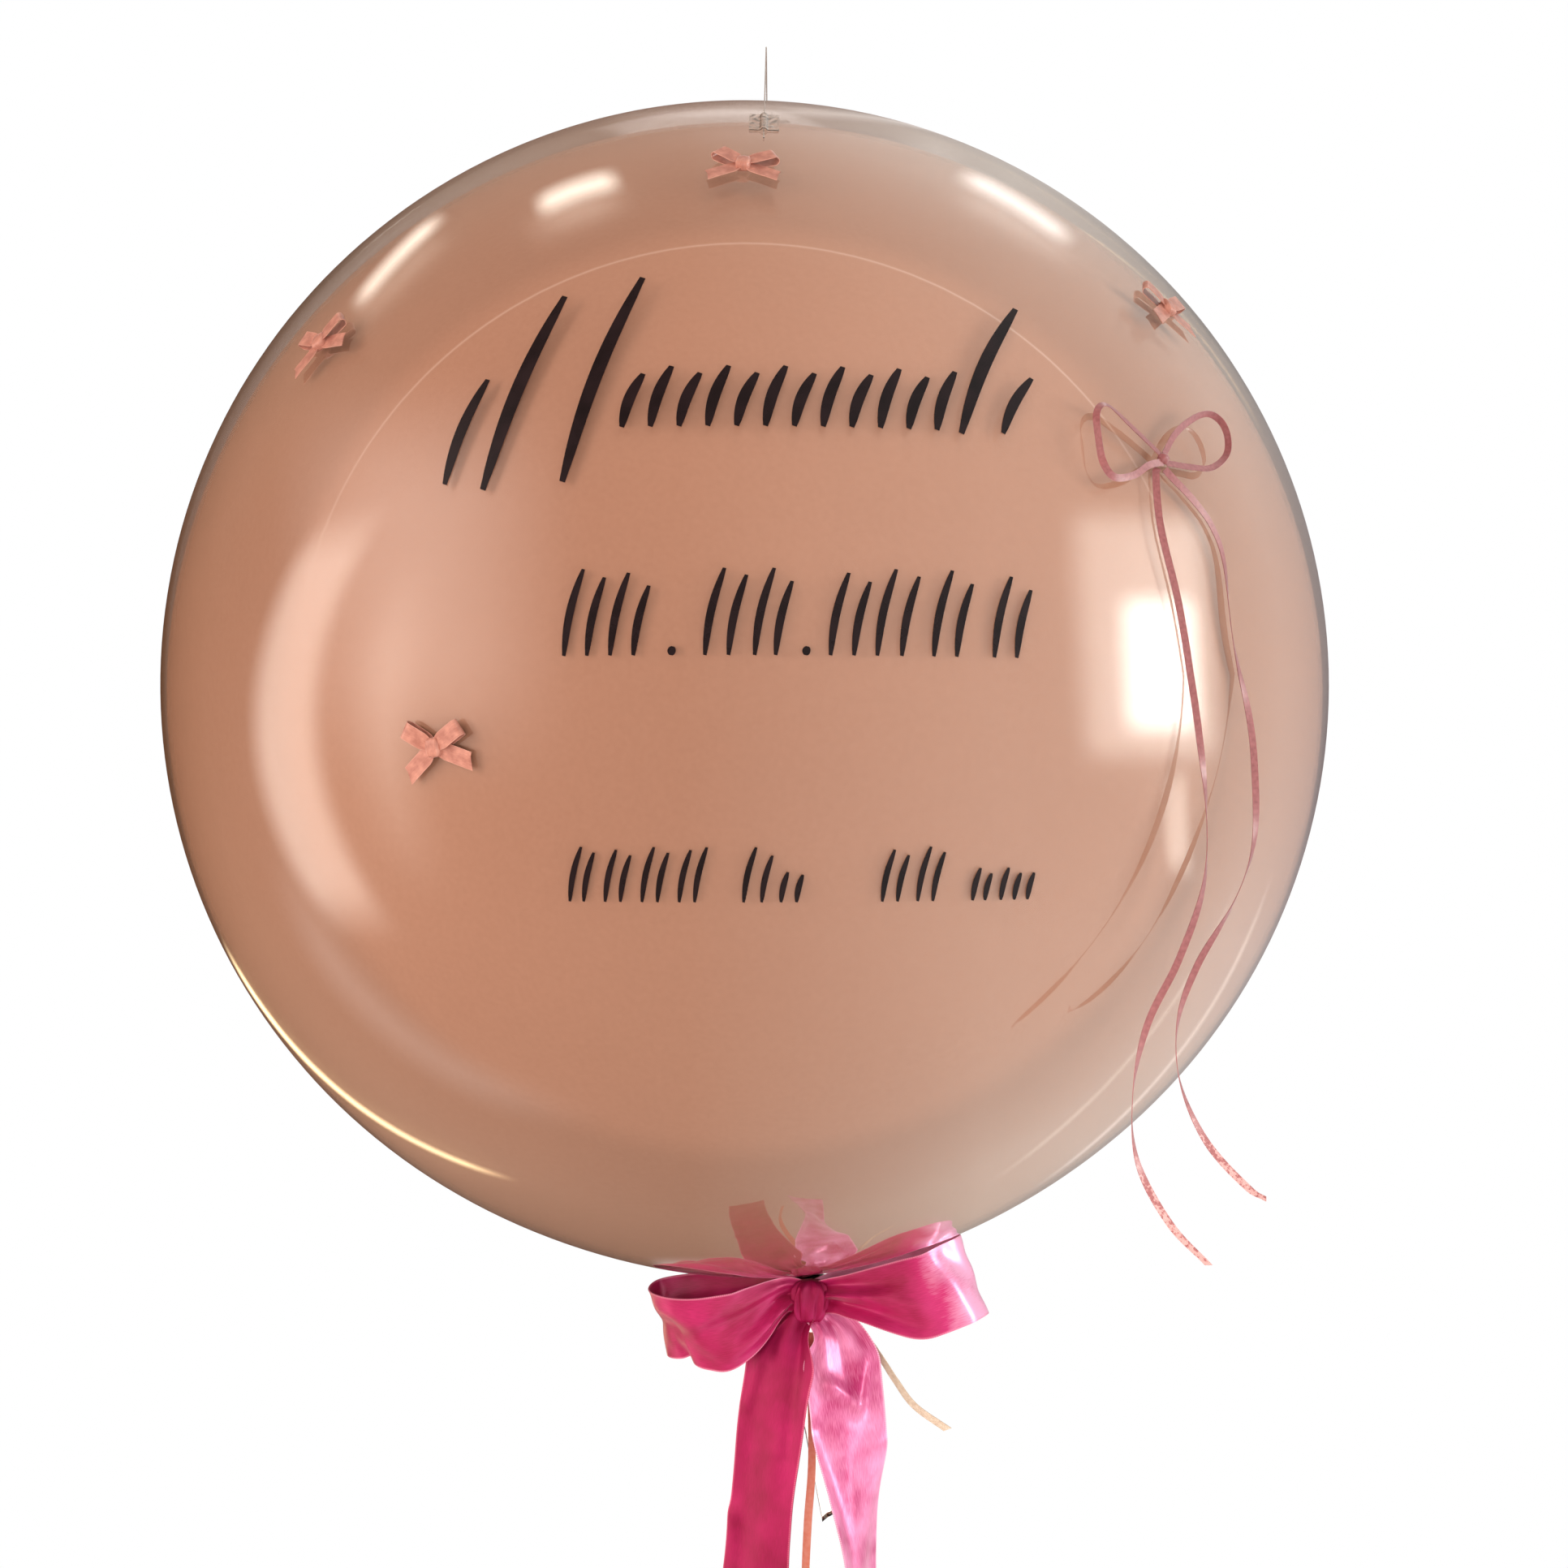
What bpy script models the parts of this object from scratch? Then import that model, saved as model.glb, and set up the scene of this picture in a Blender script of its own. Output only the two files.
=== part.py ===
"""A clear bubble balloon with a satin bow at its neck, hung by a thread. Metres, +Z up, front at -Y.

The origin is where the thread bends over whatever it hangs from.
"""

import math

import bmesh
import bpy
from mathutils import Matrix, Vector

# Film bubble
bubbleRadius = 0.280
bubbleShift = -0.0097  # the bow weighs on the right, so the bubble hangs a little to the left
neckTilt = math.radians(5.95)
neckRadius = 0.0075
neckSpread = 0.034  # radius where the film begins to draw in
neckBend = 0.004  # height of the bend from the drawn-in film to the neck
drawnOut = 0.0055  # the film's weight and the bow draw the ball out towards the neck by this much
drawnOutAngle = math.radians(20)  # from the neck's axis, where most of that has gone
drawnCurve = 1.4  # 1 would draw the film in straight, as a cone
pleatCount = 10
pleatDepth = 0.0006
bubbleSides = 4 * pleatCount
bubbleRings = 20
filmTailLength = 0.094
filmTailWidth = 0.034
filmTailThickness = 0.0030
filmTailLean = math.radians(11)
filmTailOpening = 0.045  # the tail reaches its full width this far below the knot
crumpleDepth = 0.0012
crumpleWaves = 3  # across the tail
crumpleTurn = 0.7  # how far the waves run on from one ring of the tail to the next, in radians

# Wide satin ribbon
satinWidth = 0.040
satinThickness = 0.0008
satinTailLength = 0.235
tailCutSlant = 0.35  # length of a slanted cut over the ribbon's width
leftLoopReach = 0.080
rightLoopReach = 0.0745
leftLoopLean = math.radians(-27)  # the loop's end leans this far sideways at its top
rightLoopLean = math.radians(-19)
leftLoopTilt = math.radians(-27)  # the opened loop tilts this far to the back at its top
rightLoopTilt = math.radians(3)
knotWidth = 0.017
knotHeight = 0.021
knotDepth = 0.013
knotFold = 0.0005
knotSquareness = 0.7  # 1 would make the wrap oval from above
knotDrop = 0.0188  # from the bubble's lowest point to the knot's middle
collarHeight = 0.017
collarThickness = 0.0026
collarEdge = 0.0009
gatheredWidth = 0.016  # the ribbon's width where the knot grips it
loopGatherLength = 0.052  # of ribbon from the knot to its full width
tailGatherLength = 0.030
foldDepth = 0.0016
foldRelease = 0.75  # share of that depth that goes where the ribbon has opened
knotSink = 0.001  # the knot presses this far into the collar

# Narrow ribbons
narrowWidth = 0.003
curlWidth = 0.004
narrowThickness = 0.0008
narrowAzimuth = math.radians(40.4)
narrowElevation = math.radians(18.0)
narrowKnotRadius = 0.0026
narrowLeftReach = 0.038
narrowRightReach = 0.046
narrowLeast = math.radians(12)  # the ribbon's turn out of the film's plane, at the knot and at the loop's end
narrowMost = math.radians(75)

# Tied mini bows, each at an azimuth, an elevation and a roll in degrees
miniWidth = 0.0070
miniThickness = 0.0006
miniDepth = 0.0048
miniKnotWidth = 0.0062
miniKnotHeight = 0.0078
miniLoopLength = 0.0150
miniTailLength = 0.0170
miniPinch = 0.62  # the ribbon's width in the knot over its full width
miniSlant = 0.45
miniStart = 0.0005  # of each strand, from the knot's middle
# The direction of each strand in degrees, and a small lift that keeps its faces out of its neighbours' planes
miniLoops = [(146, 0.0), (29, 0.00013)]
miniTails = [(217, 0.00011, miniSlant), (-23, -0.00012, -miniSlant)]
miniPlaces = [
    (0.4, 49.1, -8),
    (-47.3, 30.2, 22),
    (53.6, 35.0, -12),
    (-25.0, -6.5, 4),
    (118, 2, -6),
    (170, 33, 10),
    (-128, -6, -14),
]

# Hanging thread and its two tapes
threadDiameter = 0.0006
hookRadius = 0.004  # of the thread's bend over what it hangs from
tabAngle = math.radians(30)  # from the crown
tabLength = 0.024
tabWidth = 0.013
tabThickness = 0.0004
threadEnd = 0.010  # the thread's loose end past the tape

gap = 0.0003  # between pieces that touch

# Upper edge of each satin loop over the knot's grip: sideways, depth and height as shares of its reach
leftLoopRoute = [
    (0.02, -0.012, 0.020), (0.12, -0.028, 0.045), (0.24, -0.100, 0.040), (0.44, -0.188, -0.004),
    (0.67, -0.219, -0.045), (0.88, -0.138, -0.056), (0.99, 0.038, -0.045), (0.93, 0.206, -0.006),
    (0.70, 0.281, 0.022), (0.43, 0.238, 0.035), (0.21, 0.131, 0.045), (0.02, 0.040, 0.020),
]  # fmt: skip
rightLoopRoute = [
    (0.02, -0.013, 0.020), (0.12, -0.028, 0.045), (0.24, -0.100, 0.085), (0.45, -0.190, 0.160),
    (0.67, -0.228, 0.230), (0.87, -0.160, 0.295), (0.98, 0.040, 0.315), (0.90, 0.215, 0.270),
    (0.68, 0.300, 0.200), (0.44, 0.255, 0.125), (0.21, 0.155, 0.070), (0.02, 0.043, 0.020),
]  # fmt: skip
# Middle line of each satin tail: sideways, depth and down as shares of its length, and its turn in degrees
leftTailRoute = [
    (-0.017, -0.004, 0.02, -20), (-0.049, -0.009, 0.08, -28), (-0.068, -0.013, 0.17, -36),
    (-0.087, -0.013, 0.30, -40), (-0.100, -0.013, 0.43, -40), (-0.111, -0.013, 0.56, -40),
    (-0.128, -0.017, 0.78, -30), (-0.132, -0.013, 1.00, -20),
]  # fmt: skip
rightTailRoute = [
    (0.017, 0.000, 0.02, 10), (0.053, -0.004, 0.07, 14), (0.068, -0.017, 0.15, 20),
    (0.081, -0.026, 0.26, 28), (0.091, -0.034, 0.38, 52), (0.100, -0.038, 0.50, 66),
    (0.104, -0.038, 0.62, 66), (0.119, -0.034, 0.82, 46), (0.128, -0.034, 1.00, 30),
]  # fmt: skip
# Each narrow loop on the film's tangent plane: sideways and up, as shares of its reach
narrowLeftLoop = [
    (0.02, 0.04), (0.38, 0.33), (0.70, 0.56), (0.90, 0.46), (0.98, 0.15), (1.00, -0.13), (0.88, -0.29),
    (0.56, -0.24), (0.27, -0.10), (0.02, -0.04),
]  # fmt: skip
narrowRightLoop = [
    (0.02, 0.04), (0.26, 0.27), (0.55, 0.44), (0.80, 0.52), (0.96, 0.46), (1.00, 0.31), (0.91, 0.12),
    (0.65, -0.03), (0.36, -0.05), (0.02, -0.04),
]  # fmt: skip
# Routes of the narrow bow's ends, sideways and up from its knot. Below the bubble's middle they hang free.
narrowLeftRoute = [
    (-0.002, -0.006), (-0.001, -0.028), (0.006, -0.058), (0.011, -0.085), (0.015, -0.112),
    (0.018, -0.142), (0.017, -0.174), (0.007, -0.204), (-0.006, -0.231), (-0.012, -0.260),
    (-0.010, -0.287), (0.003, -0.312), (0.019, -0.329),
]  # fmt: skip
narrowRightRoute = [
    (0.0055, -0.0065), (0.016, -0.016), (0.024, -0.026), (0.029, -0.040), (0.032, -0.070),
    (0.039, -0.100), (0.042, -0.124), (0.042, -0.156), (0.034, -0.181), (0.018, -0.209),
    (0.010, -0.233), (0.011, -0.257), (0.022, -0.282), (0.039, -0.301), (0.047, -0.306),
]  # fmt: skip
# Routes of the two curling ribbons from the satin knot's middle: sideways, depth and up
salmonRoute = [
    (0.0005, 0.0035, -0.016), (0.0007, 0.0050, -0.050), (0.0010, 0.0060, -0.082),
    (-0.0010, 0.0056, -0.110), (-0.0022, 0.0050, -0.142), (-0.0010, 0.0040, -0.176),
    (0.0030, 0.0030, -0.208), (0.0060, 0.0040, -0.228),
]  # fmt: skip
creamRoute = [
    (0.009, 0.0055, -0.014), (0.019, 0.0055, -0.015), (0.028, 0.0065, -0.020), (0.0345, 0.0080, -0.029),
    (0.042, 0.010, -0.041), (0.0515, 0.012, -0.054), (0.0676, 0.012, -0.0655),
]  # fmt: skip


def clearScene():
    for item in list(bpy.data.objects):
        bpy.data.objects.remove(item)


def material(name, colour, roughness, transmission=0.0):
    made = bpy.data.materials.new(name)
    made.use_nodes = True
    shader = made.node_tree.nodes["Principled BSDF"]
    shader.inputs["Base Color"].default_value = (*colour, 1.0)
    shader.inputs["Roughness"].default_value = roughness
    shader.inputs["Metallic"].default_value = 0.0
    shader.inputs["Transmission Weight"].default_value = transmission
    return made


def objectFrom(name, mesh, look, place=None):
    made = bpy.data.objects.new(name, mesh)
    if not mesh.materials:
        mesh.materials.append(look)
    if place is not None:
        made.matrix_world = place
    bpy.context.scene.collection.objects.link(made)
    return made


def helperFrom(name, mesh, place):
    """A shape that is only joined to another."""
    made = bpy.data.objects.new(name, mesh)
    made.matrix_world = place
    made.hide_render = True
    made.display_type = "WIRE"
    bpy.context.scene.collection.objects.link(made)
    return made


def join(target, helpers):
    """Joins shapes that overlap into one closed body."""
    for helper in helpers:
        union = target.modifiers.new("join " + helper.name, "BOOLEAN")
        union.operation = "UNION"
        union.object = helper


def closedMesh(name, rings, pole=None, around=False, thin=False):
    """A closed mesh over rings with as many points each. It ends flat, in a pole at its start, or in itself.
    Both faces of a thin sheet are split along the same diagonals, so that they stay apart where it twists."""
    count = len(rings[0])
    bm = bmesh.new()
    rows = [[bm.verts.new(point) for point in ring] for ring in rings]
    pairs = list(zip(rows, rows[1:]))
    if around:
        pairs.append((rows[-1], rows[0]))
    for first, second in pairs:
        for i in range(count):
            j = (i + 1) % count
            if not thin:
                bm.faces.new((first[i], first[j], second[j], second[i]))
            elif i < count // 2:
                bm.faces.new((first[i], first[j], second[j]))
                bm.faces.new((first[i], second[j], second[i]))
            else:
                bm.faces.new((first[i], first[j], second[i]))
                bm.faces.new((first[j], second[j], second[i]))
    if pole is not None:
        top = bm.verts.new(pole)
        for i in range(count):
            bm.faces.new((top, rows[0][(i + 1) % count], rows[0][i]))
    elif not around:
        bm.faces.new(rows[0])
    if not around:
        bm.faces.new(rows[-1])
    bmesh.ops.recalc_face_normals(bm, faces=bm.faces)
    mesh = bpy.data.meshes.new(name)
    bm.to_mesh(mesh)
    bm.free()
    mesh.shade_smooth()
    mesh.set_sharp_from_angle(angle=math.radians(40))
    return mesh


def smoothStep(value):
    value = min(max(value, 0.0), 1.0)
    return value * value * (3 - 2 * value)


def between(a, b, c, d, t):
    """One value of a smooth curve from b to c, with a before it and d after it."""
    return 0.5 * (2 * b + (c - a) * t + (2 * a - 5 * b + 4 * c - d) * t**2 + (3 * b - a - 3 * c + d) * t**3)


def smoothThrough(points, count):
    """count points spaced evenly along a smooth curve through the given ones."""
    before = tuple(2 * a - b for a, b in zip(points[0], points[1]))
    after = tuple(2 * a - b for a, b in zip(points[-1], points[-2]))
    rows = [before, *points, after]
    steps = 24
    fine = []
    for a, b, c, d in zip(rows, rows[1:], rows[2:], rows[3:]):
        for step in range(steps):
            fine.append(tuple(between(*values, step / steps) for values in zip(a, b, c, d)))
    fine.append(points[-1])
    along = [0.0]
    for a, b in zip(fine, fine[1:]):
        along.append(along[-1] + math.dist(a[:3], b[:3]))
    even = []
    k = 0
    for i in range(count):
        target = along[-1] * i / (count - 1)
        while k < len(along) - 2 and along[k + 1] < target:
            k += 1
        share = (target - along[k]) / (along[k + 1] - along[k])
        even.append(tuple(a + (b - a) * share for a, b in zip(fine[k], fine[k + 1])))
    return even


def lengthsTo(line):
    along = [0.0]
    for a, b in zip(line, line[1:]):
        along.append(along[-1] + math.dist(a, b))
    return along


def tangents(line):
    ends = [line[0], *line, line[-1]]
    return [(Vector(b) - Vector(a)).normalized() for a, b in zip(ends, ends[2:])]


def ribbonRings(line, ways, widths, thickness, parts, anchor=0.5, folds=None, slant=0.0):
    """Rings round a flat ribbon. ways point from its lower to its upper edge, and anchor is the line's place
    between them. folds is the depth of its two pleats at each point."""
    rings = []
    last = len(line) - 1
    for i, (point, along) in enumerate(zip(line, tangents(line))):
        way = (ways[i] - along * ways[i].dot(along)).normalized()
        normal = along.cross(way)
        front, back = [], []
        for k in range(parts + 1):
            share = k / parts
            spot = Vector(point) + way * (share - anchor) * widths[i]
            if folds:
                spot += normal * folds[i] * math.cos(4 * math.pi * share)
            if i == last:
                spot += along * slant * widths[i] * (share - 0.5)
            front.append(spot + normal * thickness / 2)
            back.append(spot - normal * thickness / 2)
        rings.append(front + back[::-1])
    return rings


def opened(distance, gatherLength):
    """0 in the knot's grip and 1 where the ribbon has opened to its full width."""
    return smoothStep(distance / gatherLength)


def satinWidthAt(distance, gatherLength):
    return gatheredWidth + (satinWidth - gatheredWidth) * opened(distance, gatherLength)


# Bubble


def neckPoint(distance):
    """A point on the neck's axis, from the bubble's middle."""
    return Vector((math.sin(neckTilt), 0, -math.cos(neckTilt))) * distance


def bubbleProfile():
    """Distance along the neck's axis, radius, and how deep the pleats are as a share."""
    rings = []
    spreadAngle = math.pi - math.asin(neckSpread / bubbleRadius)
    for i in range(1, bubbleRings + 1):
        angle = spreadAngle * i / bubbleRings
        reach = bubbleRadius + drawnOut * math.exp(-(((math.pi - angle) / drawnOutAngle) ** 2))
        rings.append((-reach * math.cos(angle), reach * math.sin(angle), 0.0))
    depth, spread, _ = rings[-1]
    knotTop = bubbleRadius + knotDrop - knotHeight / 2
    drawnRings = 5
    for i in range(1, drawnRings + 1):
        share = i / drawnRings
        radius = spread + (neckRadius + neckBend - spread) * share
        rings.append((depth + (knotTop - neckBend - depth) * share**drawnCurve, radius, share**2))
    rings.append((knotTop - neckBend * 0.3, neckRadius + neckBend * 0.3, 1.0))
    rings.append((knotTop, neckRadius, 1.0))
    rings.append((knotTop + knotHeight, neckRadius, 1.0))
    return rings


def filmTailRings(start):
    """The film below the knot opens from the round neck to a flat, crumpled tail."""
    down = Vector((math.sin(filmTailLean), 0, -math.cos(filmTailLean)))
    sideWay = Vector((math.cos(filmTailLean), 0, math.sin(filmTailLean)))
    rings = []
    tailRings = 6
    for i in range(1, tailRings + 1):
        distance = filmTailLength * i / tailRings
        flat = smoothStep(distance / filmTailOpening)
        halfWidth = neckRadius + (filmTailWidth / 2 - neckRadius) * flat
        halfThickness = neckRadius + (filmTailThickness / 2 - neckRadius) * flat
        ring = []
        for k in range(bubbleSides):
            angle = 2 * math.pi * k / bubbleSides
            reach = 1 - pleatDepth / neckRadius * (1 - math.cos(pleatCount * angle)) / 2 * (1 - flat)
            wave = crumpleWaves * math.pi * math.cos(angle) + crumpleTurn * i
            spot = start + down * distance + sideWay * halfWidth * math.cos(angle) * reach
            spot.y += halfThickness * math.sin(angle) * reach + crumpleDepth * flat * math.sin(wave)
            ring.append(spot)
        rings.append(ring)
    return rings


def makeBubble(centre, look):
    sideWay = Vector((math.cos(neckTilt), 0, math.sin(neckTilt)))
    rings = []
    for depth, radius, pleat in bubbleProfile():
        ring = []
        for k in range(bubbleSides):
            angle = 2 * math.pi * k / bubbleSides
            reach = radius - pleatDepth * pleat * (1 - math.cos(pleatCount * angle)) / 2
            spot = centre + neckPoint(depth) + sideWay * reach * math.cos(angle)
            spot.y += reach * math.sin(angle)
            ring.append(spot)
        rings.append(ring)
    neckEnd = centre + neckPoint(bubbleRadius + knotDrop + knotHeight / 2)
    rings += filmTailRings(neckEnd)
    return objectFrom("bubble", closedMesh("bubble", rings, pole=centre - neckPoint(bubbleRadius)), look)


# Satin bow


def collarMesh():
    """The ribbon round the neck, about the neck's axis."""
    inner = neckRadius + gap
    outer = inner + collarThickness
    half = collarHeight / 2
    profile = [(inner, -half), (outer - collarEdge, -half), (outer, -half + collarEdge)]
    profile += [(outer, half - collarEdge), (outer - collarEdge, half), (inner, half)]
    sides = 20
    rings = []
    for k in range(sides):
        turn = Matrix.Rotation(2 * math.pi * k / sides, 3, "Z")
        rings.append([turn @ Vector((radius, 0, height)) for radius, height in profile])
    return closedMesh("collar", rings, around=True)


def squared(value):
    """Draws a circle's sine or cosine out towards a square."""
    return math.copysign(abs(value) ** knotSquareness, value)


def knotMesh():
    """A rounded wrap with upright folds."""
    sides, levels, folds = 18, 6, 6
    across, through = knotWidth / 2 - knotFold, knotDepth / 2 - knotFold
    rings = []
    for i in range(1, levels):
        height = -math.cos(math.pi * i / levels)
        radius = (1 - abs(height) ** 3) ** (1 / 3)
        ring = []
        for k in range(sides):
            angle = 2 * math.pi * k / sides
            fold = -knotFold * math.cos(folds * angle)
            x = (across + fold) * radius * squared(math.cos(angle))
            y = (through + fold) * radius * squared(math.sin(angle))
            ring.append((x, y, knotHeight / 2 * height))
        rings.append(ring)
    return closedMesh("knot", rings)


def satinLoopMesh(name, route, reach, lean, tilt):
    """A loop hangs from its upper edge, so that it keeps clear of the film above it."""
    edge = [(reach * x, abs(reach) * y, abs(reach) * z + gatheredWidth / 2) for x, y, z in route]
    line = smoothThrough(edge, 16)
    along = lengthsTo(line)
    nearest = [min(a, along[-1] - a) for a in along]
    widths = [satinWidthAt(a, loopGatherLength) for a in nearest]
    folds = [foldDepth * (1 - foldRelease * opened(a, loopGatherLength)) for a in nearest]
    ways = []
    for a in nearest:
        share = smoothStep(2 * a / along[-1])
        ways.append(Vector((math.sin(lean * share), math.sin(tilt * share), math.cos(lean * share))))
    rings = ribbonRings(line, ways, widths, satinThickness, 4, anchor=1.0, folds=folds)
    return closedMesh(name, rings, thin=True)


def satinTailMesh(name, route, slant):
    long = satinTailLength
    steps = smoothThrough([(long * x, long * y, -long * down, turn) for x, y, down, turn in route], 17)
    line = [step[:3] for step in steps]
    along = lengthsTo(line)
    turns = [math.radians(step[3]) for step in steps]
    ways = [Vector((math.cos(turn), math.sin(turn), 0)) for turn in turns]
    widths = [satinWidthAt(a, tailGatherLength) for a in along]
    folds = [foldDepth * (1 - foldRelease * opened(a, tailGatherLength)) for a in along]
    rings = ribbonRings(line, ways, widths, satinThickness, 4, folds=folds, slant=slant)
    return closedMesh(name, rings, thin=True)


def makeSatinBow(knotMiddle, neckMiddle, look):
    here = Matrix.Translation(knotMiddle)
    bow = objectFrom("satin_bow", knotMesh(), look, here)
    roundNeck = Matrix.Translation(neckMiddle) @ Matrix.Rotation(-neckTilt, 4, "Y")
    ribbons = [
        satinLoopMesh("left loop", leftLoopRoute, -leftLoopReach, leftLoopLean, leftLoopTilt),
        satinLoopMesh("right loop", rightLoopRoute, rightLoopReach, rightLoopLean, rightLoopTilt),
        satinTailMesh("left tail", leftTailRoute, tailCutSlant),
        satinTailMesh("right tail", rightTailRoute, -tailCutSlant),
    ]
    collar = helperFrom("collar", collarMesh(), roundNeck)
    join(bow, [collar] + [helperFrom(ribbon.name, ribbon, here) for ribbon in ribbons])


# Narrow ribbons


def filmFrame(centre, azimuth, elevation, roll=0.0):
    """A frame on the film: X to the right, Y up and Z out of the film, as seen from outside."""
    level = math.cos(elevation)
    out = Vector((math.sin(azimuth) * level, -math.cos(azimuth) * level, math.sin(elevation)))
    right = Vector((math.cos(azimuth), math.sin(azimuth), 0))
    up = out.cross(right)
    turn = Matrix((right, up, out)).transposed().to_4x4()
    return Matrix.Translation(centre + out * bubbleRadius) @ turn @ Matrix.Rotation(roll, 4, "Z")


def narrowLoopMesh(name, route, reach):
    """The ribbon lies with its face out beside the knot and turns on edge round the loop's end."""
    height = narrowKnotRadius + gap
    count = 17
    line = smoothThrough([(reach * x, abs(reach) * y, height) for x, y in route], count)
    ways = []
    for i, along in enumerate(tangents(line)):
        flatWay = Vector((0, 0, 1)).cross(along)
        edge = narrowLeast + (narrowMost - narrowLeast) * math.sin(math.pi * i / (count - 1)) ** 6
        ways.append(flatWay * math.cos(edge) + Vector((0, 0, math.sin(edge))))
    widths = [narrowWidth] * len(line)
    return closedMesh(name, ribbonRings(line, ways, widths, narrowThickness, 1), thin=True)


def ballMesh(name, radius, sides):
    bm = bmesh.new()
    bmesh.ops.create_uvsphere(bm, u_segments=sides, v_segments=sides // 2, radius=radius)
    mesh = bpy.data.meshes.new(name)
    bm.to_mesh(mesh)
    bm.free()
    mesh.shade_smooth()
    return mesh


def makeNarrowBow(centre, look):
    place = filmFrame(centre, narrowAzimuth, narrowElevation)
    knotPlace = place @ Matrix.Translation((0, 0, narrowKnotRadius + gap))
    bow = objectFrom("narrow_bow", ballMesh("narrow knot", narrowKnotRadius, 8), look, knotPlace)
    helpers = [
        helperFrom("narrow left", narrowLoopMesh("narrow left", narrowLeftLoop, -narrowLeftReach), place),
        helperFrom("narrow right", narrowLoopMesh("narrow right", narrowRightLoop, narrowRightReach), place),
    ]
    join(bow, helpers)
    return place.translation


def curledPoints(route, count, start):
    return [start + Vector(point) for point in smoothThrough(route, count)]


def tube(name, points, diameter, look):
    """A cord as a round tube along its points, closed at both ends."""
    curve = bpy.data.curves.new(name, "CURVE")
    curve.dimensions = "3D"
    curve.bevel_depth = diameter / 2
    curve.bevel_resolution = 2
    curve.use_fill_caps = True
    spline = curve.splines.new("POLY")
    spline.points.add(len(points) - 1)
    for spot, point in zip(spline.points, points):
        spot.co = (*point, 1.0)
    curve.materials.append(look)
    made = bpy.data.objects.new(name, curve)
    bpy.context.scene.collection.objects.link(made)
    return made


def draped(route, start, centre):
    """The route over the film from its start down to the bubble's middle, and straight down from there."""
    reach = bubbleRadius + gap + narrowWidth / 2
    points = []
    hanging = None
    for dx, dz in smoothThrough(route, 36):
        x = start.x + dx - centre.x
        z = start.z + dz - centre.z
        if z < 0 and hanging is None:
            hanging = -math.sqrt(reach**2 - x**2)
        y = -math.sqrt(reach**2 - x**2 - z**2) if hanging is None else hanging
        points.append(centre + Vector((x, y, z)))
    return points


# Mini bows


def miniStrand(name, line, degrees, lift, slant=0.0):
    """A stretch of ribbon that leaves the knot at an angle, over the film's tangent plane."""
    angle = math.radians(degrees)
    heading = Vector((math.cos(angle), math.sin(angle), 0))
    across = Vector((-math.sin(angle), math.cos(angle), 0))
    points = [heading * out + Vector((0, 0, gap + lift + height)) for out, height in line]
    shares = [smoothStep(out / miniKnotWidth) for out, height in line]
    widths = [miniWidth * (miniPinch + (1 - miniPinch) * share) for share in shares]
    rings = ribbonRings(points, [across] * len(line), widths, miniThickness, 1, slant=slant)
    return closedMesh(name, rings)


def miniLoopLine():
    """Out from the knot in front and back behind, round the loop's end."""
    top, bottom = miniDepth - miniThickness, miniThickness
    bend, middle = (top - bottom) / 2, (top + bottom) / 2
    edge = miniKnotWidth * 0.6
    line = [(miniStart, top * 0.72), (edge, top * 0.78), (miniKnotWidth, top * 0.9)]
    steps = 4
    for i in range(steps + 1):
        angle = math.pi * i / steps
        line.append((miniLoopLength - bend + bend * math.sin(angle), middle + bend * math.cos(angle)))
    return line + [(edge, bottom), (miniStart, bottom)]


def miniKnotMesh():
    """A band folded over the middle, with soft edges."""
    sides, squareness = 8, 0.55
    rings = []
    for across, share in ((-1, 0.86), (-0.75, 1.0), (0.75, 1.0), (1, 0.86)):
        ring = []
        for k in range(sides):
            angle = 2 * math.pi * (k + 0.5) / sides
            up = math.copysign(abs(math.sin(angle)) ** squareness, math.sin(angle)) * share
            out = math.copysign(abs(math.cos(angle)) ** squareness, math.cos(angle)) * share
            height = gap + (1 + out) * miniDepth / 2
            ring.append((across * miniKnotWidth / 2, up * miniKnotHeight / 2, height))
        rings.append(ring)
    return closedMesh("mini knot", rings)


def miniMesh():
    """The whole mini bow as one mesh, which its copies share."""
    tailRoute = [(miniStart, 0.44), (miniTailLength / 2, 0.35), (miniTailLength, 0.29)]
    tailLine = [(out, miniDepth * share) for out, share in tailRoute]
    strands = [miniStrand("mini loop", miniLoopLine(), *values) for values in miniLoops]
    strands += [miniStrand("mini tail", tailLine, *values) for values in miniTails]
    knot = helperFrom("mini knot", miniKnotMesh(), Matrix.Identity(4))
    helpers = [helperFrom(mesh.name, mesh, Matrix.Identity(4)) for mesh in strands]
    join(knot, helpers)
    bpy.context.view_layer.update()
    whole = bpy.data.meshes.new_from_object(knot.evaluated_get(bpy.context.evaluated_depsgraph_get()))
    for helper in [knot, *helpers]:
        bpy.data.objects.remove(helper)
    return whole


def makeMiniBows(centre, look):
    mesh = miniMesh()
    for i, (azimuth, elevation, roll) in enumerate(miniPlaces, start=1):
        place = filmFrame(centre, math.radians(azimuth), math.radians(elevation), math.radians(roll))
        objectFrom(f"mini_bow_{i}", mesh, look, place)


# Hanging thread


def planeRadius():
    """The bubble's radius in the upright plane of the thread."""
    return math.sqrt(bubbleRadius**2 - bubbleShift**2)


def threadRadiusOnFilm():
    return planeRadius() + gap + threadDiameter / 2


def leaveAngle():
    """Where the thread leaves the film, at the tape's upper edge."""
    return tabAngle - tabLength / 2 / bubbleRadius


def bendHeight():
    """From the bubble's middle to the middle of the thread's bend over its hook."""
    return (threadRadiusOnFilm() - hookRadius) / math.cos(leaveAngle())


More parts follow.
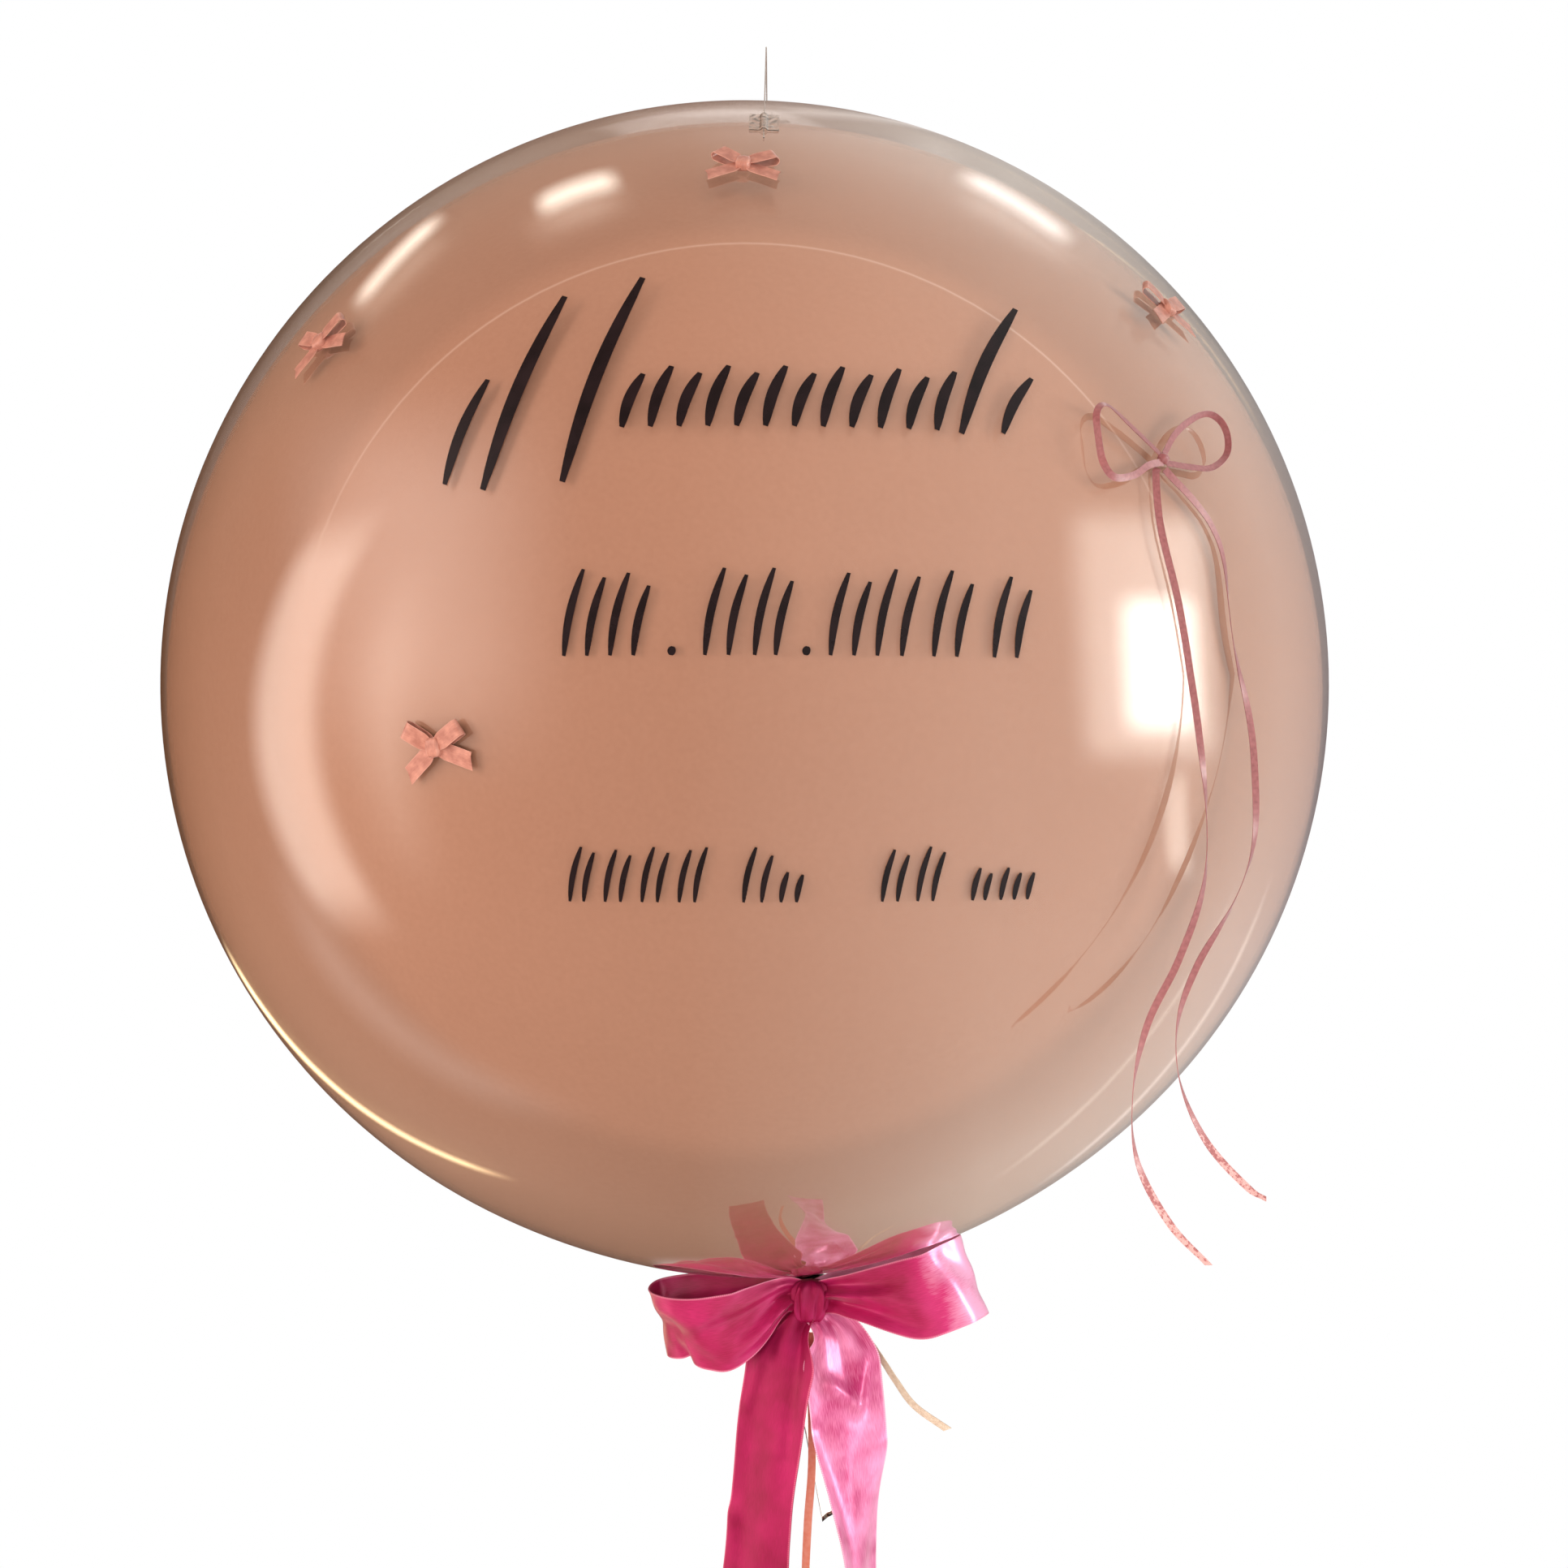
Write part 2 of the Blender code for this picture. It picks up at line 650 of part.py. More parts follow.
def threadPoints(centre):
    """From the front tape up and over the hook, then down to the back tape."""
    middle = Vector((0, 0, centre.z))
    reach = threadRadiusOnFilm()
    endAngle = tabAngle + (tabLength / 2 + threadEnd) / bubbleRadius
    half = []
    steps = 6
    for i in range(steps + 1):
        angle = endAngle + (leaveAngle() - endAngle) * i / steps
        half.append((-reach * math.sin(angle), reach * math.cos(angle)))
    slope = leaveAngle()
    bendStart = (-hookRadius * math.sin(slope), bendHeight() + hookRadius * math.cos(slope))
    for share in (0.25, 0.5, 0.75, 0.92):
        half.append(tuple(a + (b - a) * share for a, b in zip(half[steps], bendStart)))
    bendSteps = 4
    for i in range(bendSteps):
        angle = slope * (1 - i / bendSteps)
        half.append((-hookRadius * math.sin(angle), bendHeight() + hookRadius * math.cos(angle)))
    whole = half + [(0, bendHeight() + hookRadius)] + [(-y, z) for y, z in half[::-1]]
    return [middle + Vector((0, y, z)) for y, z in whole]


def tabMesh(name, centre, side):
    """A tape on the film, raised over the thread. side is -1 in front and 1 behind."""
    clear = threadDiameter / 2 + gap
    columns = [-tabWidth / 2, -tabWidth / 4, -3 * clear, -clear, clear, 3 * clear, tabWidth / 4, tabWidth / 2]
    rows = 5
    rings = []
    for i in range(rows):
        angle = tabAngle + tabLength * (i / (rows - 1) - 0.5) / bubbleRadius
        under, over = [], []
        for x in columns:
            ridge = (threadDiameter + gap) * (1 - smoothStep((abs(x) - clear) / (2 * clear)))
            for lift, row in ((gap + ridge, under), (gap + ridge + tabThickness, over)):
                radius = math.sqrt((bubbleRadius + lift) ** 2 - (x - centre.x) ** 2)
                y = side * radius * math.sin(angle)
                row.append(Vector((x, y, centre.z + radius * math.cos(angle))))
        rings.append(under + over[::-1])
    return closedMesh(name, rings)


def build():
    clearScene()
    film = material("clear film", (0.93, 0.90, 0.88), 0.05, transmission=0.9)
    satin = material("fuchsia satin", (0.60, 0.03, 0.19), 0.35)
    rose = material("rose satin", (0.50, 0.17, 0.16), 0.40)
    salmon = material("salmon ribbon", (0.90, 0.30, 0.20), 0.40)
    cream = material("cream ribbon", (0.88, 0.80, 0.70), 0.40)
    tape = material("clear tape", (0.90, 0.90, 0.88), 0.15, transmission=0.8)

    centre = Vector((bubbleShift, 0, threadDiameter / 2 - bendHeight() - hookRadius))
    neckMiddle = centre + neckPoint(bubbleRadius + knotDrop)
    knotForward = neckRadius + gap + collarThickness + knotDepth / 2 - knotSink
    knotMiddle = neckMiddle - Vector((0, knotForward, 0))

    makeBubble(centre, film)
    makeSatinBow(knotMiddle, neckMiddle, satin)
    narrowStart = makeNarrowBow(centre, rose)
    tube("narrow_tail_left", draped(narrowLeftRoute, narrowStart, centre), narrowWidth, rose)
    tube("narrow_tail_right", draped(narrowRightRoute, narrowStart, centre), narrowWidth, rose)
    tube("salmon_ribbon", curledPoints(salmonRoute, 22, knotMiddle), curlWidth, salmon)
    tube("cream_ribbon", curledPoints(creamRoute, 10, knotMiddle), curlWidth, cream)
    makeMiniBows(centre, rose)
    tube("hang_thread", threadPoints(centre), threadDiameter, tape)
    objectFrom("hang_tab_front", tabMesh("hang_tab_front", centre, -1), tape)
    objectFrom("hang_tab_back", tabMesh("hang_tab_back", centre, 1), tape)


build()
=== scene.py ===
# A clear bubble balloon with a rose balloon sealed in it, a satin bow at its neck and little bows on its film
import math

import bmesh
import bpy
from mathutils import Matrix, Vector, noise


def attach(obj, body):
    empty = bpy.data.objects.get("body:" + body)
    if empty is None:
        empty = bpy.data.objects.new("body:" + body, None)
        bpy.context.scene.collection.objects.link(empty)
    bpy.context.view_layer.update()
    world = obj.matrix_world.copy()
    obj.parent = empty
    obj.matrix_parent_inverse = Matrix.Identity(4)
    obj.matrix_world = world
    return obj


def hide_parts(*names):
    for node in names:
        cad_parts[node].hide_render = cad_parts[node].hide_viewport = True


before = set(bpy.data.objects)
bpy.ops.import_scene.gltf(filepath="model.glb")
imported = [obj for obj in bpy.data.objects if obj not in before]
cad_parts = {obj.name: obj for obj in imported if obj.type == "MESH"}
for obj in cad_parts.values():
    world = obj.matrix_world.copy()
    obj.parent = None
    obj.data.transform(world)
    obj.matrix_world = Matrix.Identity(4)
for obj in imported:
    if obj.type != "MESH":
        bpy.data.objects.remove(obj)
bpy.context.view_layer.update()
print("frame loaded:", ", ".join(sorted(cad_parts)))

gap = 0.0003  # between pieces that touch, in metres like every length here

# The hanging thread and its two tapes
hang = {
    "threadDiameter": 0.0006,
    "hookRadius": 0.004,
    "tabAngle": math.radians(30),  # of the tapes from the crown
    "tabLength": 0.024,
    "tabWidth": 0.013,
    "tabThickness": 0.0004,
    "threadEnd": 0.010,
}

# The clear film, which everything else hangs on
film = {
    "radius": 0.280,
    "shift": -0.0097,
    "neckTilt": math.radians(5.95),
    "neckRadius": 0.0075,
    "neckSpread": 0.034,
    "neckBend": 0.004,
    "drawnOut": 0.0055,  # towards the neck
    "drawnOutAngle": math.radians(20),
    "drawnCurve": 1.4,
    "pleats": 10,
    "pleatDepth": 0.0006,
    "creaseDepth": 0.0011,  # of the fine creases that run out from the neck
    "creaseSpread": 7.2,
    "wall": 0.00015,
    "tailLength": 0.091,
    "tailWidth": 0.028,
    "tailThickness": 0.0014,
    "tailLean": math.radians(12),
    "tailOpening": 0.045,
    "tailSlant": 0.010,  # of its cut end, lower on the left
    "crumple": 0.0012,
    "tailWaves": (9, 55),  # across and along the tail
    "endWave": 0.0025,
    "knotDrop": 0.0188,
    "knotHeight": 0.021,
}


def hangingMiddle():
    # The bubble's middle, from the thread's length over its hook
    planeRadius = math.sqrt(film["radius"] ** 2 - film["shift"] ** 2)
    reach = planeRadius + gap + hang["threadDiameter"] / 2
    slope = hang["tabAngle"] - hang["tabLength"] / 2 / film["radius"]
    bend = (reach - hang["hookRadius"]) / math.cos(slope)
    middle = Vector((film["shift"], 0, hang["threadDiameter"] / 2 - bend - hang["hookRadius"]))
    return middle, reach, slope, bend


middle, threadReach, threadSlope, threadBend = hangingMiddle()


# Curves and meshes


def smoothStep(value):
    value = min(max(value, 0.0), 1.0)
    return value * value * (3 - 2 * value)


def mix(a, b, share):
    return a + (b - a) * share


def between(a, b, c, d, t):
    # One value of a smooth curve from b to c, with a before it and d after it
    return 0.5 * (2 * b + (c - a) * t + (2 * a - 5 * b + 4 * c - d) * t**2 + (3 * b - a - 3 * c + d) * t**3)


def smoothThrough(points, count):
    # count points spaced evenly along a smooth curve through the given ones
    before = tuple(2 * a - b for a, b in zip(points[0], points[1]))
    after = tuple(2 * a - b for a, b in zip(points[-1], points[-2]))
    rows = [before, *points, after]
    steps = 24
    fine = []
    for a, b, c, d in zip(rows, rows[1:], rows[2:], rows[3:]):
        for step in range(steps):
            fine.append(tuple(between(*values, step / steps) for values in zip(a, b, c, d)))
    fine.append(points[-1])
    along = [0.0]
    for a, b in zip(fine, fine[1:]):
        along.append(along[-1] + math.dist(a[:3], b[:3]))
    even = []
    k = 0
    for i in range(count):
        target = along[-1] * i / (count - 1)
        while k < len(along) - 2 and along[k + 1] < target:
            k += 1
        share = (target - along[k]) / (along[k + 1] - along[k])
        even.append(tuple(a + (b - a) * share for a, b in zip(fine[k], fine[k + 1])))
    return even


def lengthsTo(line):
    along = [0.0]
    for a, b in zip(line, line[1:]):
        along.append(along[-1] + math.dist(a, b))
    return along


def tangents(line):
    ends = [line[0], *line, line[-1]]
    return [(Vector(b) - Vector(a)).normalized() for a, b in zip(ends, ends[2:])]


def meshFrom(name, bm, sharp=None):
    bmesh.ops.recalc_face_normals(bm, faces=bm.faces)
    mesh = bpy.data.meshes.new(name)
    bm.to_mesh(mesh)
    bm.free()
    mesh.shade_smooth()
    if sharp:
        mesh.set_sharp_from_angle(angle=math.radians(sharp))
    return mesh


def pieceOf(name, shape, look, replaces=(), place=None):
    # A piece of a mesh or curve, on the part's one body
    piece = bpy.data.objects.new(name, shape)
    if not shape.materials:
        shape.materials.append(look)
    if place is not None:
        piece.matrix_world = place
    bpy.context.scene.collection.objects.link(piece)
    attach(piece, "root")
    if replaces:
        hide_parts(*replaces)
    return piece


def pieceFrom(name, bm, look, replaces=(), sharp=None):
    return pieceOf(name, meshFrom(name, bm, sharp), look, replaces)


def skin(bm, rings, closed=False, capped=False):
    # Faces between rings with as many points each, and from the last ring to the first if closed
    count = len(rings[0])
    rows = [[bm.verts.new(point) for point in ring] for ring in rings]
    for first, second in zip(rows, rows[1:] + rows[:1] if closed else rows[1:]):
        for i in range(count):
            j = (i + 1) % count
            bm.faces.new((first[i], first[j], second[j], second[i]))
    if capped:
        bm.faces.new(rows[0])
        bm.faces.new(rows[-1])
    return rows


def closeCrown(bm, point, ring):
    top = bm.verts.new(point)
    for i in range(len(ring)):
        bm.faces.new((top, ring[(i + 1) % len(ring)], ring[i]))


def powered(value, power):
    # The value's size raised to a power, with its sign kept
    return math.copysign(abs(value) ** power, value)


# How cloth isn't quite flat: the waves of its gathers across it, and of its slack across and along it
slack = {
    "gathers": 2,
    "gatherBend": 0.5,
    "gatherBends": 5,
    "across": 2.2,
    "along": 1.1,
    "creaseFade": 0.55,  # of each crease, towards its far end
}


def creaseAt(creases, u, v, width, length):
    # How far the cloth stands out at u across and v along it, each crease a line between two such places
    total = 0.0
    for v0, u0, v1, u1, depth, reach in creases:
        ax, ay = u0 * width, v0 * length
        bx, by = u1 * width, v1 * length
        px, py = u * width, v * length
        span = (bx - ax) ** 2 + (by - ay) ** 2
        t = min(max(((px - ax) * (bx - ax) + (py - ay) * (by - ay)) / span, 0.0), 1.0)
        away = math.hypot(px - ax - (bx - ax) * t, py - ay - (by - ay) * t)
        total += depth * math.exp(-((away / reach) ** 2)) * (1 - slack["creaseFade"] * t)
    return total


def ribbonMesh(bm, line, ways, widths, thickness, across, anchor=0.5, pleats=None, creases=(), slant=0.0,
               wave=0.0, seed=0.0):
    # A closed strip of cloth along a line. ways point across it, and its UV runs across and along in widths.
    along = lengthsTo(line)
    length = along[-1]
    fullWidth = max(widths)
    front, back, marks = [], [], []
    last = len(line) - 1
    for i, (point, heading) in enumerate(zip(line, tangents(line))):
        way = (ways[i] - heading * ways[i].dot(heading)).normalized()
        normal = heading.cross(way)
        upper, lower, row = [], [], []
        for k in range(across + 1):
            u = k / across
            spot = Vector(point) + way * (u - anchor) * widths[i]
            lift = creaseAt(creases, u, along[i] / length, fullWidth, length)
            if pleats:
                bend = slack["gatherBend"] * math.sin(slack["gatherBends"] * u + seed)
                lift += pleats[i] * math.cos(2 * math.pi * slack["gathers"] * u + bend)
            if wave:
                place = Vector((u * slack["across"] + seed, along[i] / fullWidth * slack["along"], seed))
                lift += wave * noise.noise(place)
            spot += normal * lift
            if i == last:
                spot += heading * slant * widths[i] * (u - 0.5)
            upper.append(spot + normal * thickness / 2)
            lower.append(spot - normal * thickness / 2)
            row.append((u, along[i] / fullWidth))
        front.append(upper)
        back.append(lower)
        marks.append(row)
    uvLayer = bm.loops.layers.uv.verify()
    grids = []
    for rows in (front, back):
        grids.append([[bm.verts.new(point) for point in row] for row in rows])

    def face(corners):
        made = bm.faces.new([grids[side][i][k] for side, i, k in corners])
        for loop, (side, i, k) in zip(made.loops, corners):
            loop[uvLayer].uv = marks[i][k]

    for i in range(last):
        for k in range(across):
            face([(0, i, k), (0, i, k + 1), (0, i + 1, k + 1), (0, i + 1, k)])
            face([(1, i, k), (1, i + 1, k), (1, i + 1, k + 1), (1, i, k + 1)])
        for k in (0, across):
            face([(0, i, k), (0, i + 1, k), (1, i + 1, k), (1, i, k)])
    for i in (0, last):
        for k in range(across):
            face([(0, i, k), (1, i, k), (1, i, k + 1), (0, i, k + 1)])
    return length


# Finishes


def setInputs(tree, node, values):
    # A value that is another node's socket is linked, and any other is set as it is
    for key, value in values.items():
        if isinstance(value, bpy.types.NodeSocket):
            tree.links.new(value, node.inputs[key])
        else:
            node.inputs[key].default_value = value


def addNode(tree, kind, inputs=None, **settings):
    node = tree.nodes.new(kind)
    for key, value in settings.items():
        setattr(node, key, value)
    setInputs(tree, node, inputs or {})
    return node


def nodeMaterial(name, values):
    made = bpy.data.materials.new(name)
    made.use_nodes = True
    tree = made.node_tree
    shader = tree.nodes["Principled BSDF"]
    setInputs(tree, shader, values)
    return made, tree, shader


def ramp(tree, factor, stops):
    node = addNode(tree, "ShaderNodeValToRGB", {"Fac": factor})
    points = node.color_ramp.elements
    while len(points) < len(stops):
        points.new(0.5)
    for point, (place, colour) in zip(points, stops):
        point.position = place
        point.color = (*colour, 1.0)
    return node.outputs["Color"]


def placeOf(tree, kind):
    return addNode(tree, "ShaderNodeTexCoord").outputs[kind]


def noiseAt(tree, place, scale, detail):
    values = {"Vector": place, "Scale": scale, "Detail": detail}
    return addNode(tree, "ShaderNodeTexNoise", values).outputs["Fac"]


def bumpFrom(tree, height, strength, distance):
    values = {"Height": height, "Strength": strength, "Distance": distance}
    return addNode(tree, "ShaderNodeBump", values).outputs["Normal"]


def sums(tree, operation, *values):
    # One math node, of sockets or plain numbers
    return addNode(tree, "ShaderNodeMath", dict(enumerate(values)), operation=operation).outputs[0]


def mixedNumbers(tree, share, first, second):
    return addNode(tree, "ShaderNodeMix", {0: share, 2: first, 3: second}, data_type="FLOAT").outputs[0]


def mixedColours(tree, share, first, second, blend="MIX"):
    values = {0: share, 6: first, 7: second}
    return addNode(tree, "ShaderNodeMix", values, data_type="RGBA", blend_type=blend).outputs[2]


def ranged(tree, value, low, high, toLow=0.0, toHigh=1.0, kind="LINEAR"):
    # The value from low to high made into one from toLow to toHigh
    values = {"Value": value, "From Min": low, "From Max": high, "To Min": toLow, "To Max": toHigh}
    return addNode(tree, "ShaderNodeMapRange", values, interpolation_type=kind).outputs["Result"]


def softWithin(tree, value, half, edge):
    # 1 where the value lies within half of 0, fading out over the soft edge
    return ranged(tree, sums(tree, "ABSOLUTE", value), half + edge, half - edge, kind="SMOOTHSTEP")


filmLook = {
    "colour": (0.975, 0.945, 0.925, 1.0),
    "roughness": 0.012,
    "ior": 1.46,
    "lampColour": (0.96, 0.93, 0.91, 1.0),
}
tapeLook = {
    "colour": (0.97, 0.96, 0.94, 1.0),
    "roughness": 0.10,
    "ior": 1.48,
    "lampColour": (0.93, 0.92, 0.90, 1.0),
}


def clearFilm(name, look):
    # Clear by plain values, and lamps shine through it to what is sealed inside
    made, tree, shader = nodeMaterial(name, {
        "Base Color": look["colour"],
        "Roughness": look["roughness"],
        "IOR": look["ior"],
        "Transmission Weight": 1.0,
    })
    ripple = noiseAt(tree, placeOf(tree, "Object"), 7.0, 1.0)
    setInputs(tree, shader, {"Normal": bumpFrom(tree, ripple, 0.05, 0.004)})
    path = addNode(tree, "ShaderNodeLightPath")
    through = addNode(tree, "ShaderNodeBsdfTransparent", {"Color": look["lampColour"]})
    shaders = {0: path.outputs["Is Shadow Ray"], 1: shader.outputs[0], 2: through.outputs[0]}
    both = addNode(tree, "ShaderNodeMixShader", shaders)
    setInputs(tree, tree.nodes["Material Output"], {"Surface": both.outputs[0]})
    return made


latexLook = {
    "roughness": 0.20,
    "dark": (0.430, 0.225, 0.155),
    "middle": (0.480, 0.262, 0.185),
    "light": (0.530, 0.300, 0.215),
    "grain": 420.0,
    "grainShare": 0.22,
    # It presses flat on the film's front inside this circle. Past the circle its colour is darkened as
    # painted shade, and a thin pale line of painted highlight runs round the circle at the top
    "pressedAxis": Vector((0.0155, -0.9991, -0.0390)),
    "pressedAngle": math.radians(41.8),
    "outside": 0.84,  # how bright it is past the circle
    "paintedHighlightLineColour": (0.78, 0.60, 0.52, 1.0),
    "lineHalf": 0.0010,
    "lineEdge": 0.0022,
    "paintedHighlightLineShare": 0.55,
}


def roseLatex(look):
    plain = {"Roughness": look["roughness"], "Specular IOR Level": 0.5}
    made, tree, shader = nodeMaterial("rose latex", plain)
    place = placeOf(tree, "Object")
    grain = noiseAt(tree, place, look["grain"], 3.0)
    cloudy = mixedNumbers(tree, look["grainShare"], noiseAt(tree, place, 3.0, 2.0), grain)
    colour = ramp(tree, cloudy, [(0.30, look["dark"]), (0.50, look["middle"]), (0.70, look["light"])])
    # The way out from the bubble's middle, and how near that is to the pressed circle's axis
    out = addNode(tree, "ShaderNodeVectorMath", {0: place, 1: middle}, operation="SUBTRACT").outputs["Vector"]
    way = addNode(tree, "ShaderNodeVectorMath", {0: out}, operation="NORMALIZE").outputs["Vector"]
    near = addNode(tree, "ShaderNodeVectorMath", {0: way, 1: look["pressedAxis"]}, operation="DOT_PRODUCT")
    over = sums(tree, "SUBTRACT", near.outputs["Value"], math.cos(look["pressedAngle"]))
    rise = addNode(tree, "ShaderNodeSeparateXYZ", {"Vector": way}).outputs["Z"]
    # Painted highlight: a thin pale line along the pressed circle's edge, on its upper part only
    line = sums(tree, "MULTIPLY", softWithin(tree, over, look["lineHalf"], look["lineEdge"]),
                ranged(tree, rise, 0.05, 0.45))
    # Painted shade: darker past the pressed circle, where the film doesn't touch the latex
    paintedShadePast = ranged(tree, over, -0.05, 0.01, look["outside"], 1.0, "SMOOTHSTEP")
    shaded = mixedColours(tree, 1.0, colour, paintedShadePast, "MULTIPLY")
    lined = mixedColours(tree, sums(tree, "MULTIPLY", line, look["paintedHighlightLineShare"]), shaded, look["paintedHighlightLineColour"])
    setInputs(tree, shader, {"Base Color": lined, "Normal": bumpFrom(tree, grain, 0.035, 0.0005)})
    return made


def blackVinyl():
    made, tree, shader = nodeMaterial("black vinyl", {"Specular IOR Level": 0.22})
    grain = noiseAt(tree, placeOf(tree, "Object"), 90.0, 3.0)
    setInputs(tree, shader, {
        "Base Color": ramp(tree, grain, [(0.3, (0.006, 0.003, 0.004)), (0.7, (0.013, 0.006, 0.008))]),
        "Roughness": ramp(tree, grain, [(0.3, (0.22,) * 3), (0.7, (0.34,) * 3)]),
    })
    return made


# What every satin starts from. Its places run across the ribbon from 0 to 1, and along it in widths.
cloth = {
    "roughness": 0.30,
    "metal": 0.0,
    "sheen": 0.18,
    "coat": 0.30,
    "threads": 90.0,
    "threadStretch": 0.09,
    "mottledLightShare": 0.72,
    "contrast": 0.18,  # less is stronger
    # Painted highlight: a paler band along the ribbon, given as where it starts, where it is palest and that
    # colour
    "paler": None,  # where it starts to pale, where it is palest, and that colour
    "rimStart": 0.474,  # from the ribbon's middle
    "rimEnd": 0.488,
    "stitches": 260.0,
    "stitched": 0.9,
    "unstitched": 0.28,
}


def satin(name, shade, light, edge, **changes):
    # Cloth woven along its UV: fine threads, a soft band of light along them, and a paler stitched edge
    look = {**cloth, **changes}
    made, tree, shader = nodeMaterial(name, {
        "Roughness": look["roughness"],
        "Specular IOR Level": 0.55,
        "Anisotropic": 0.70,
        "Metallic": look["metal"],
        "Sheen Weight": look["sheen"],
        "Sheen Roughness": 0.35,
        "Sheen Tint": (1.0, 0.80, 0.88, 1.0),
        "Coat Weight": look["coat"],
        "Coat Roughness": 0.26,
    })
    place = addNode(tree, "ShaderNodeUVMap").outputs["UV"]
    parts = addNode(tree, "ShaderNodeSeparateXYZ", {"Vector": place})
    threads = (look["threads"], look["threads"] * look["threadStretch"], 1.0)
    stretch = addNode(tree, "ShaderNodeMapping", {"Vector": place, "Scale": threads})
    weave = noiseAt(tree, stretch.outputs["Vector"], 1.0, 2.0)
    # Painted light and shade in broad soft patches along the ribbon, between its shade and light colours,
    # over the fine threads
    share = mixedNumbers(tree, look["mottledLightShare"], weave, noiseAt(tree, place, 1.6, 2.0))
    stops = [(0.5 - look["contrast"], shade), (0.5 + look["contrast"], light)]
    if look["paler"]:
        # Painted highlight: the ribbon turns paler between two places along it
        start, end, palest = look["paler"]
        share = sums(tree, "ADD", share, ranged(tree, parts.outputs["Y"], start, end, 0.0, 0.5))
        stops.append((1.0, palest))
    out = sums(tree, "ABSOLUTE", sums(tree, "SUBTRACT", parts.outputs["X"], 0.5))
    rim = ranged(tree, out, look["rimStart"], look["rimEnd"])
    dots = sums(tree, "SINE", sums(tree, "MULTIPLY", parts.outputs["Y"], look["stitches"]))
    stitch = ranged(tree, dots, -1.0, 1.0, look["stitched"] * look["unstitched"], look["stitched"])
    edged = mixedColours(tree, sums(tree, "MULTIPLY", rim, stitch), ramp(tree, share, stops), (*edge, 1.0))
    turn = addNode(tree, "ShaderNodeTangent", direction_type="UV_MAP")
    setInputs(tree, shader, {
        "Base Color": edged,
        "Normal": bumpFrom(tree, weave, 0.12, 0.0004),
        "Tangent": turn.outputs["Tangent"],
    })
    return made


filmMaterial = clearFilm("clear film", filmLook)
tapeMaterial = clearFilm("clear tape", tapeLook)
latexMaterial = roseLatex(latexLook)
vinylMaterial = blackVinyl()
# Each satin's shade, light and edge, then how it differs from the cloth above
fuchsia = [(0.34, 0.003, 0.055), (0.66, 0.022, 0.190), (0.90, 0.30, 0.48)]
fuchsiaMaterial = satin("fuchsia satin", *fuchsia, metal=0.30)
# Painted highlight: the right loop's copy of the fuchsia satin turns paler towards its far end
litMaterial = satin("fuchsia satin lit at the fold", *fuchsia, metal=0.30,
                    paler=(1.15, 1.85, (0.96, 0.42, 0.68)))
# Painted shade: a darker copy of the fuchsia satin for the left tail and the knot, which lie in shade
satinInShadeMaterial = satin("fuchsia satin in shade", (0.30, 0.003, 0.055), (0.50, 0.008, 0.125), (0.75, 0.16, 0.30),
                     roughness=0.42, metal=0.55, sheen=0.02, coat=0.05)
# Painted light: a brighter copy of the fuchsia satin for the right tail, which faces the light
satinInLightMaterial = satin("fuchsia satin in light", (0.50, 0.010, 0.150), (0.96, 0.33, 0.62), (0.98, 0.55, 0.74),
                     metal=0.25, contrast=0.14)
roseMaterial = satin("rose satin", (0.32, 0.108, 0.080), (0.60, 0.270, 0.205), (0.66, 0.34, 0.27),
                     threads=26.0)
# Painted sheen: the narrow ribbons turn paler towards their far ends
narrowMaterial = satin("narrow rose satin", (0.15, 0.030, 0.036), (0.46, 0.165, 0.175), (0.48, 0.16, 0.18),
                       threads=12.0, contrast=0.42, paler=(72, 108, (0.76, 0.45, 0.45)), stitched=0.0)
salmonMaterial = satin("salmon ribbon", (0.94, 0.31, 0.20), (1.0, 0.46, 0.34), (1.0, 0.60, 0.48),
                       threads=30.0)
creamMaterial = satin("cream ribbon", (0.66, 0.53, 0.40), (0.86, 0.76, 0.62), (0.46, 0.33, 0.22),
                      threads=30.0)
print("finishes made")


# Camera, level with the bubble's lower half and a little to its right

camera = bpy.data.objects.new("camera", bpy.data.cameras.new("camera"))
camera.data.lens = 58.37
camera.data.sensor_width = 36
camera.location = middle + Vector((0.0184, -1.25, -0.0463))
camera.rotation_euler = (math.radians(90), 0, 0)
bpy.context.scene.collection.objects.link(camera)
bpy.context.scene.camera = camera


# The bubble


def neckPoint(distance):
    # A point on the neck's axis, from the bubble's middle
    return Vector((math.sin(film["neckTilt"]), 0, -math.cos(film["neckTilt"]))) * distance


def drawnOutAt(angle):
    # How far the ball is drawn out at an angle from its crown
    return film["drawnOut"] * math.exp(-(((math.pi - angle) / film["drawnOutAngle"]) ** 2))


def bubbleProfile(ballRings, drawnRings):
    # Distance along the neck's axis, radius, and how far the film is drawn in, from 0 to 1
    rings = []
    radius = film["radius"]
    spreadAngle = math.pi - math.asin(film["neckSpread"] / radius)
    for i in range(1, ballRings + 1):
        angle = spreadAngle * i / ballRings
        reach = radius + drawnOutAt(angle)
        rings.append((-reach * math.cos(angle), reach * math.sin(angle), 0.0))
    depth, spread, _ = rings[-1]
    knotTop = radius + film["knotDrop"] - film["knotHeight"] / 2
    throat = film["neckRadius"] + film["neckBend"]
    for i in range(1, drawnRings + 1):
        share = i / drawnRings
        at = depth + (knotTop - film["neckBend"] - depth) * share ** film["drawnCurve"]
        rings.append((at, spread + (throat - spread) * share, share))
    rings.append((knotTop - film["neckBend"] * 0.3, film["neckRadius"] + film["neckBend"] * 0.3, 1.0))
    rings.append((knotTop, film["neckRadius"], 1.0))
    return rings


def pleated(angle):
    # 0 on the pleats' ridges and 1 between them
    return (1 - math.cos(film["pleats"] * angle)) / 2


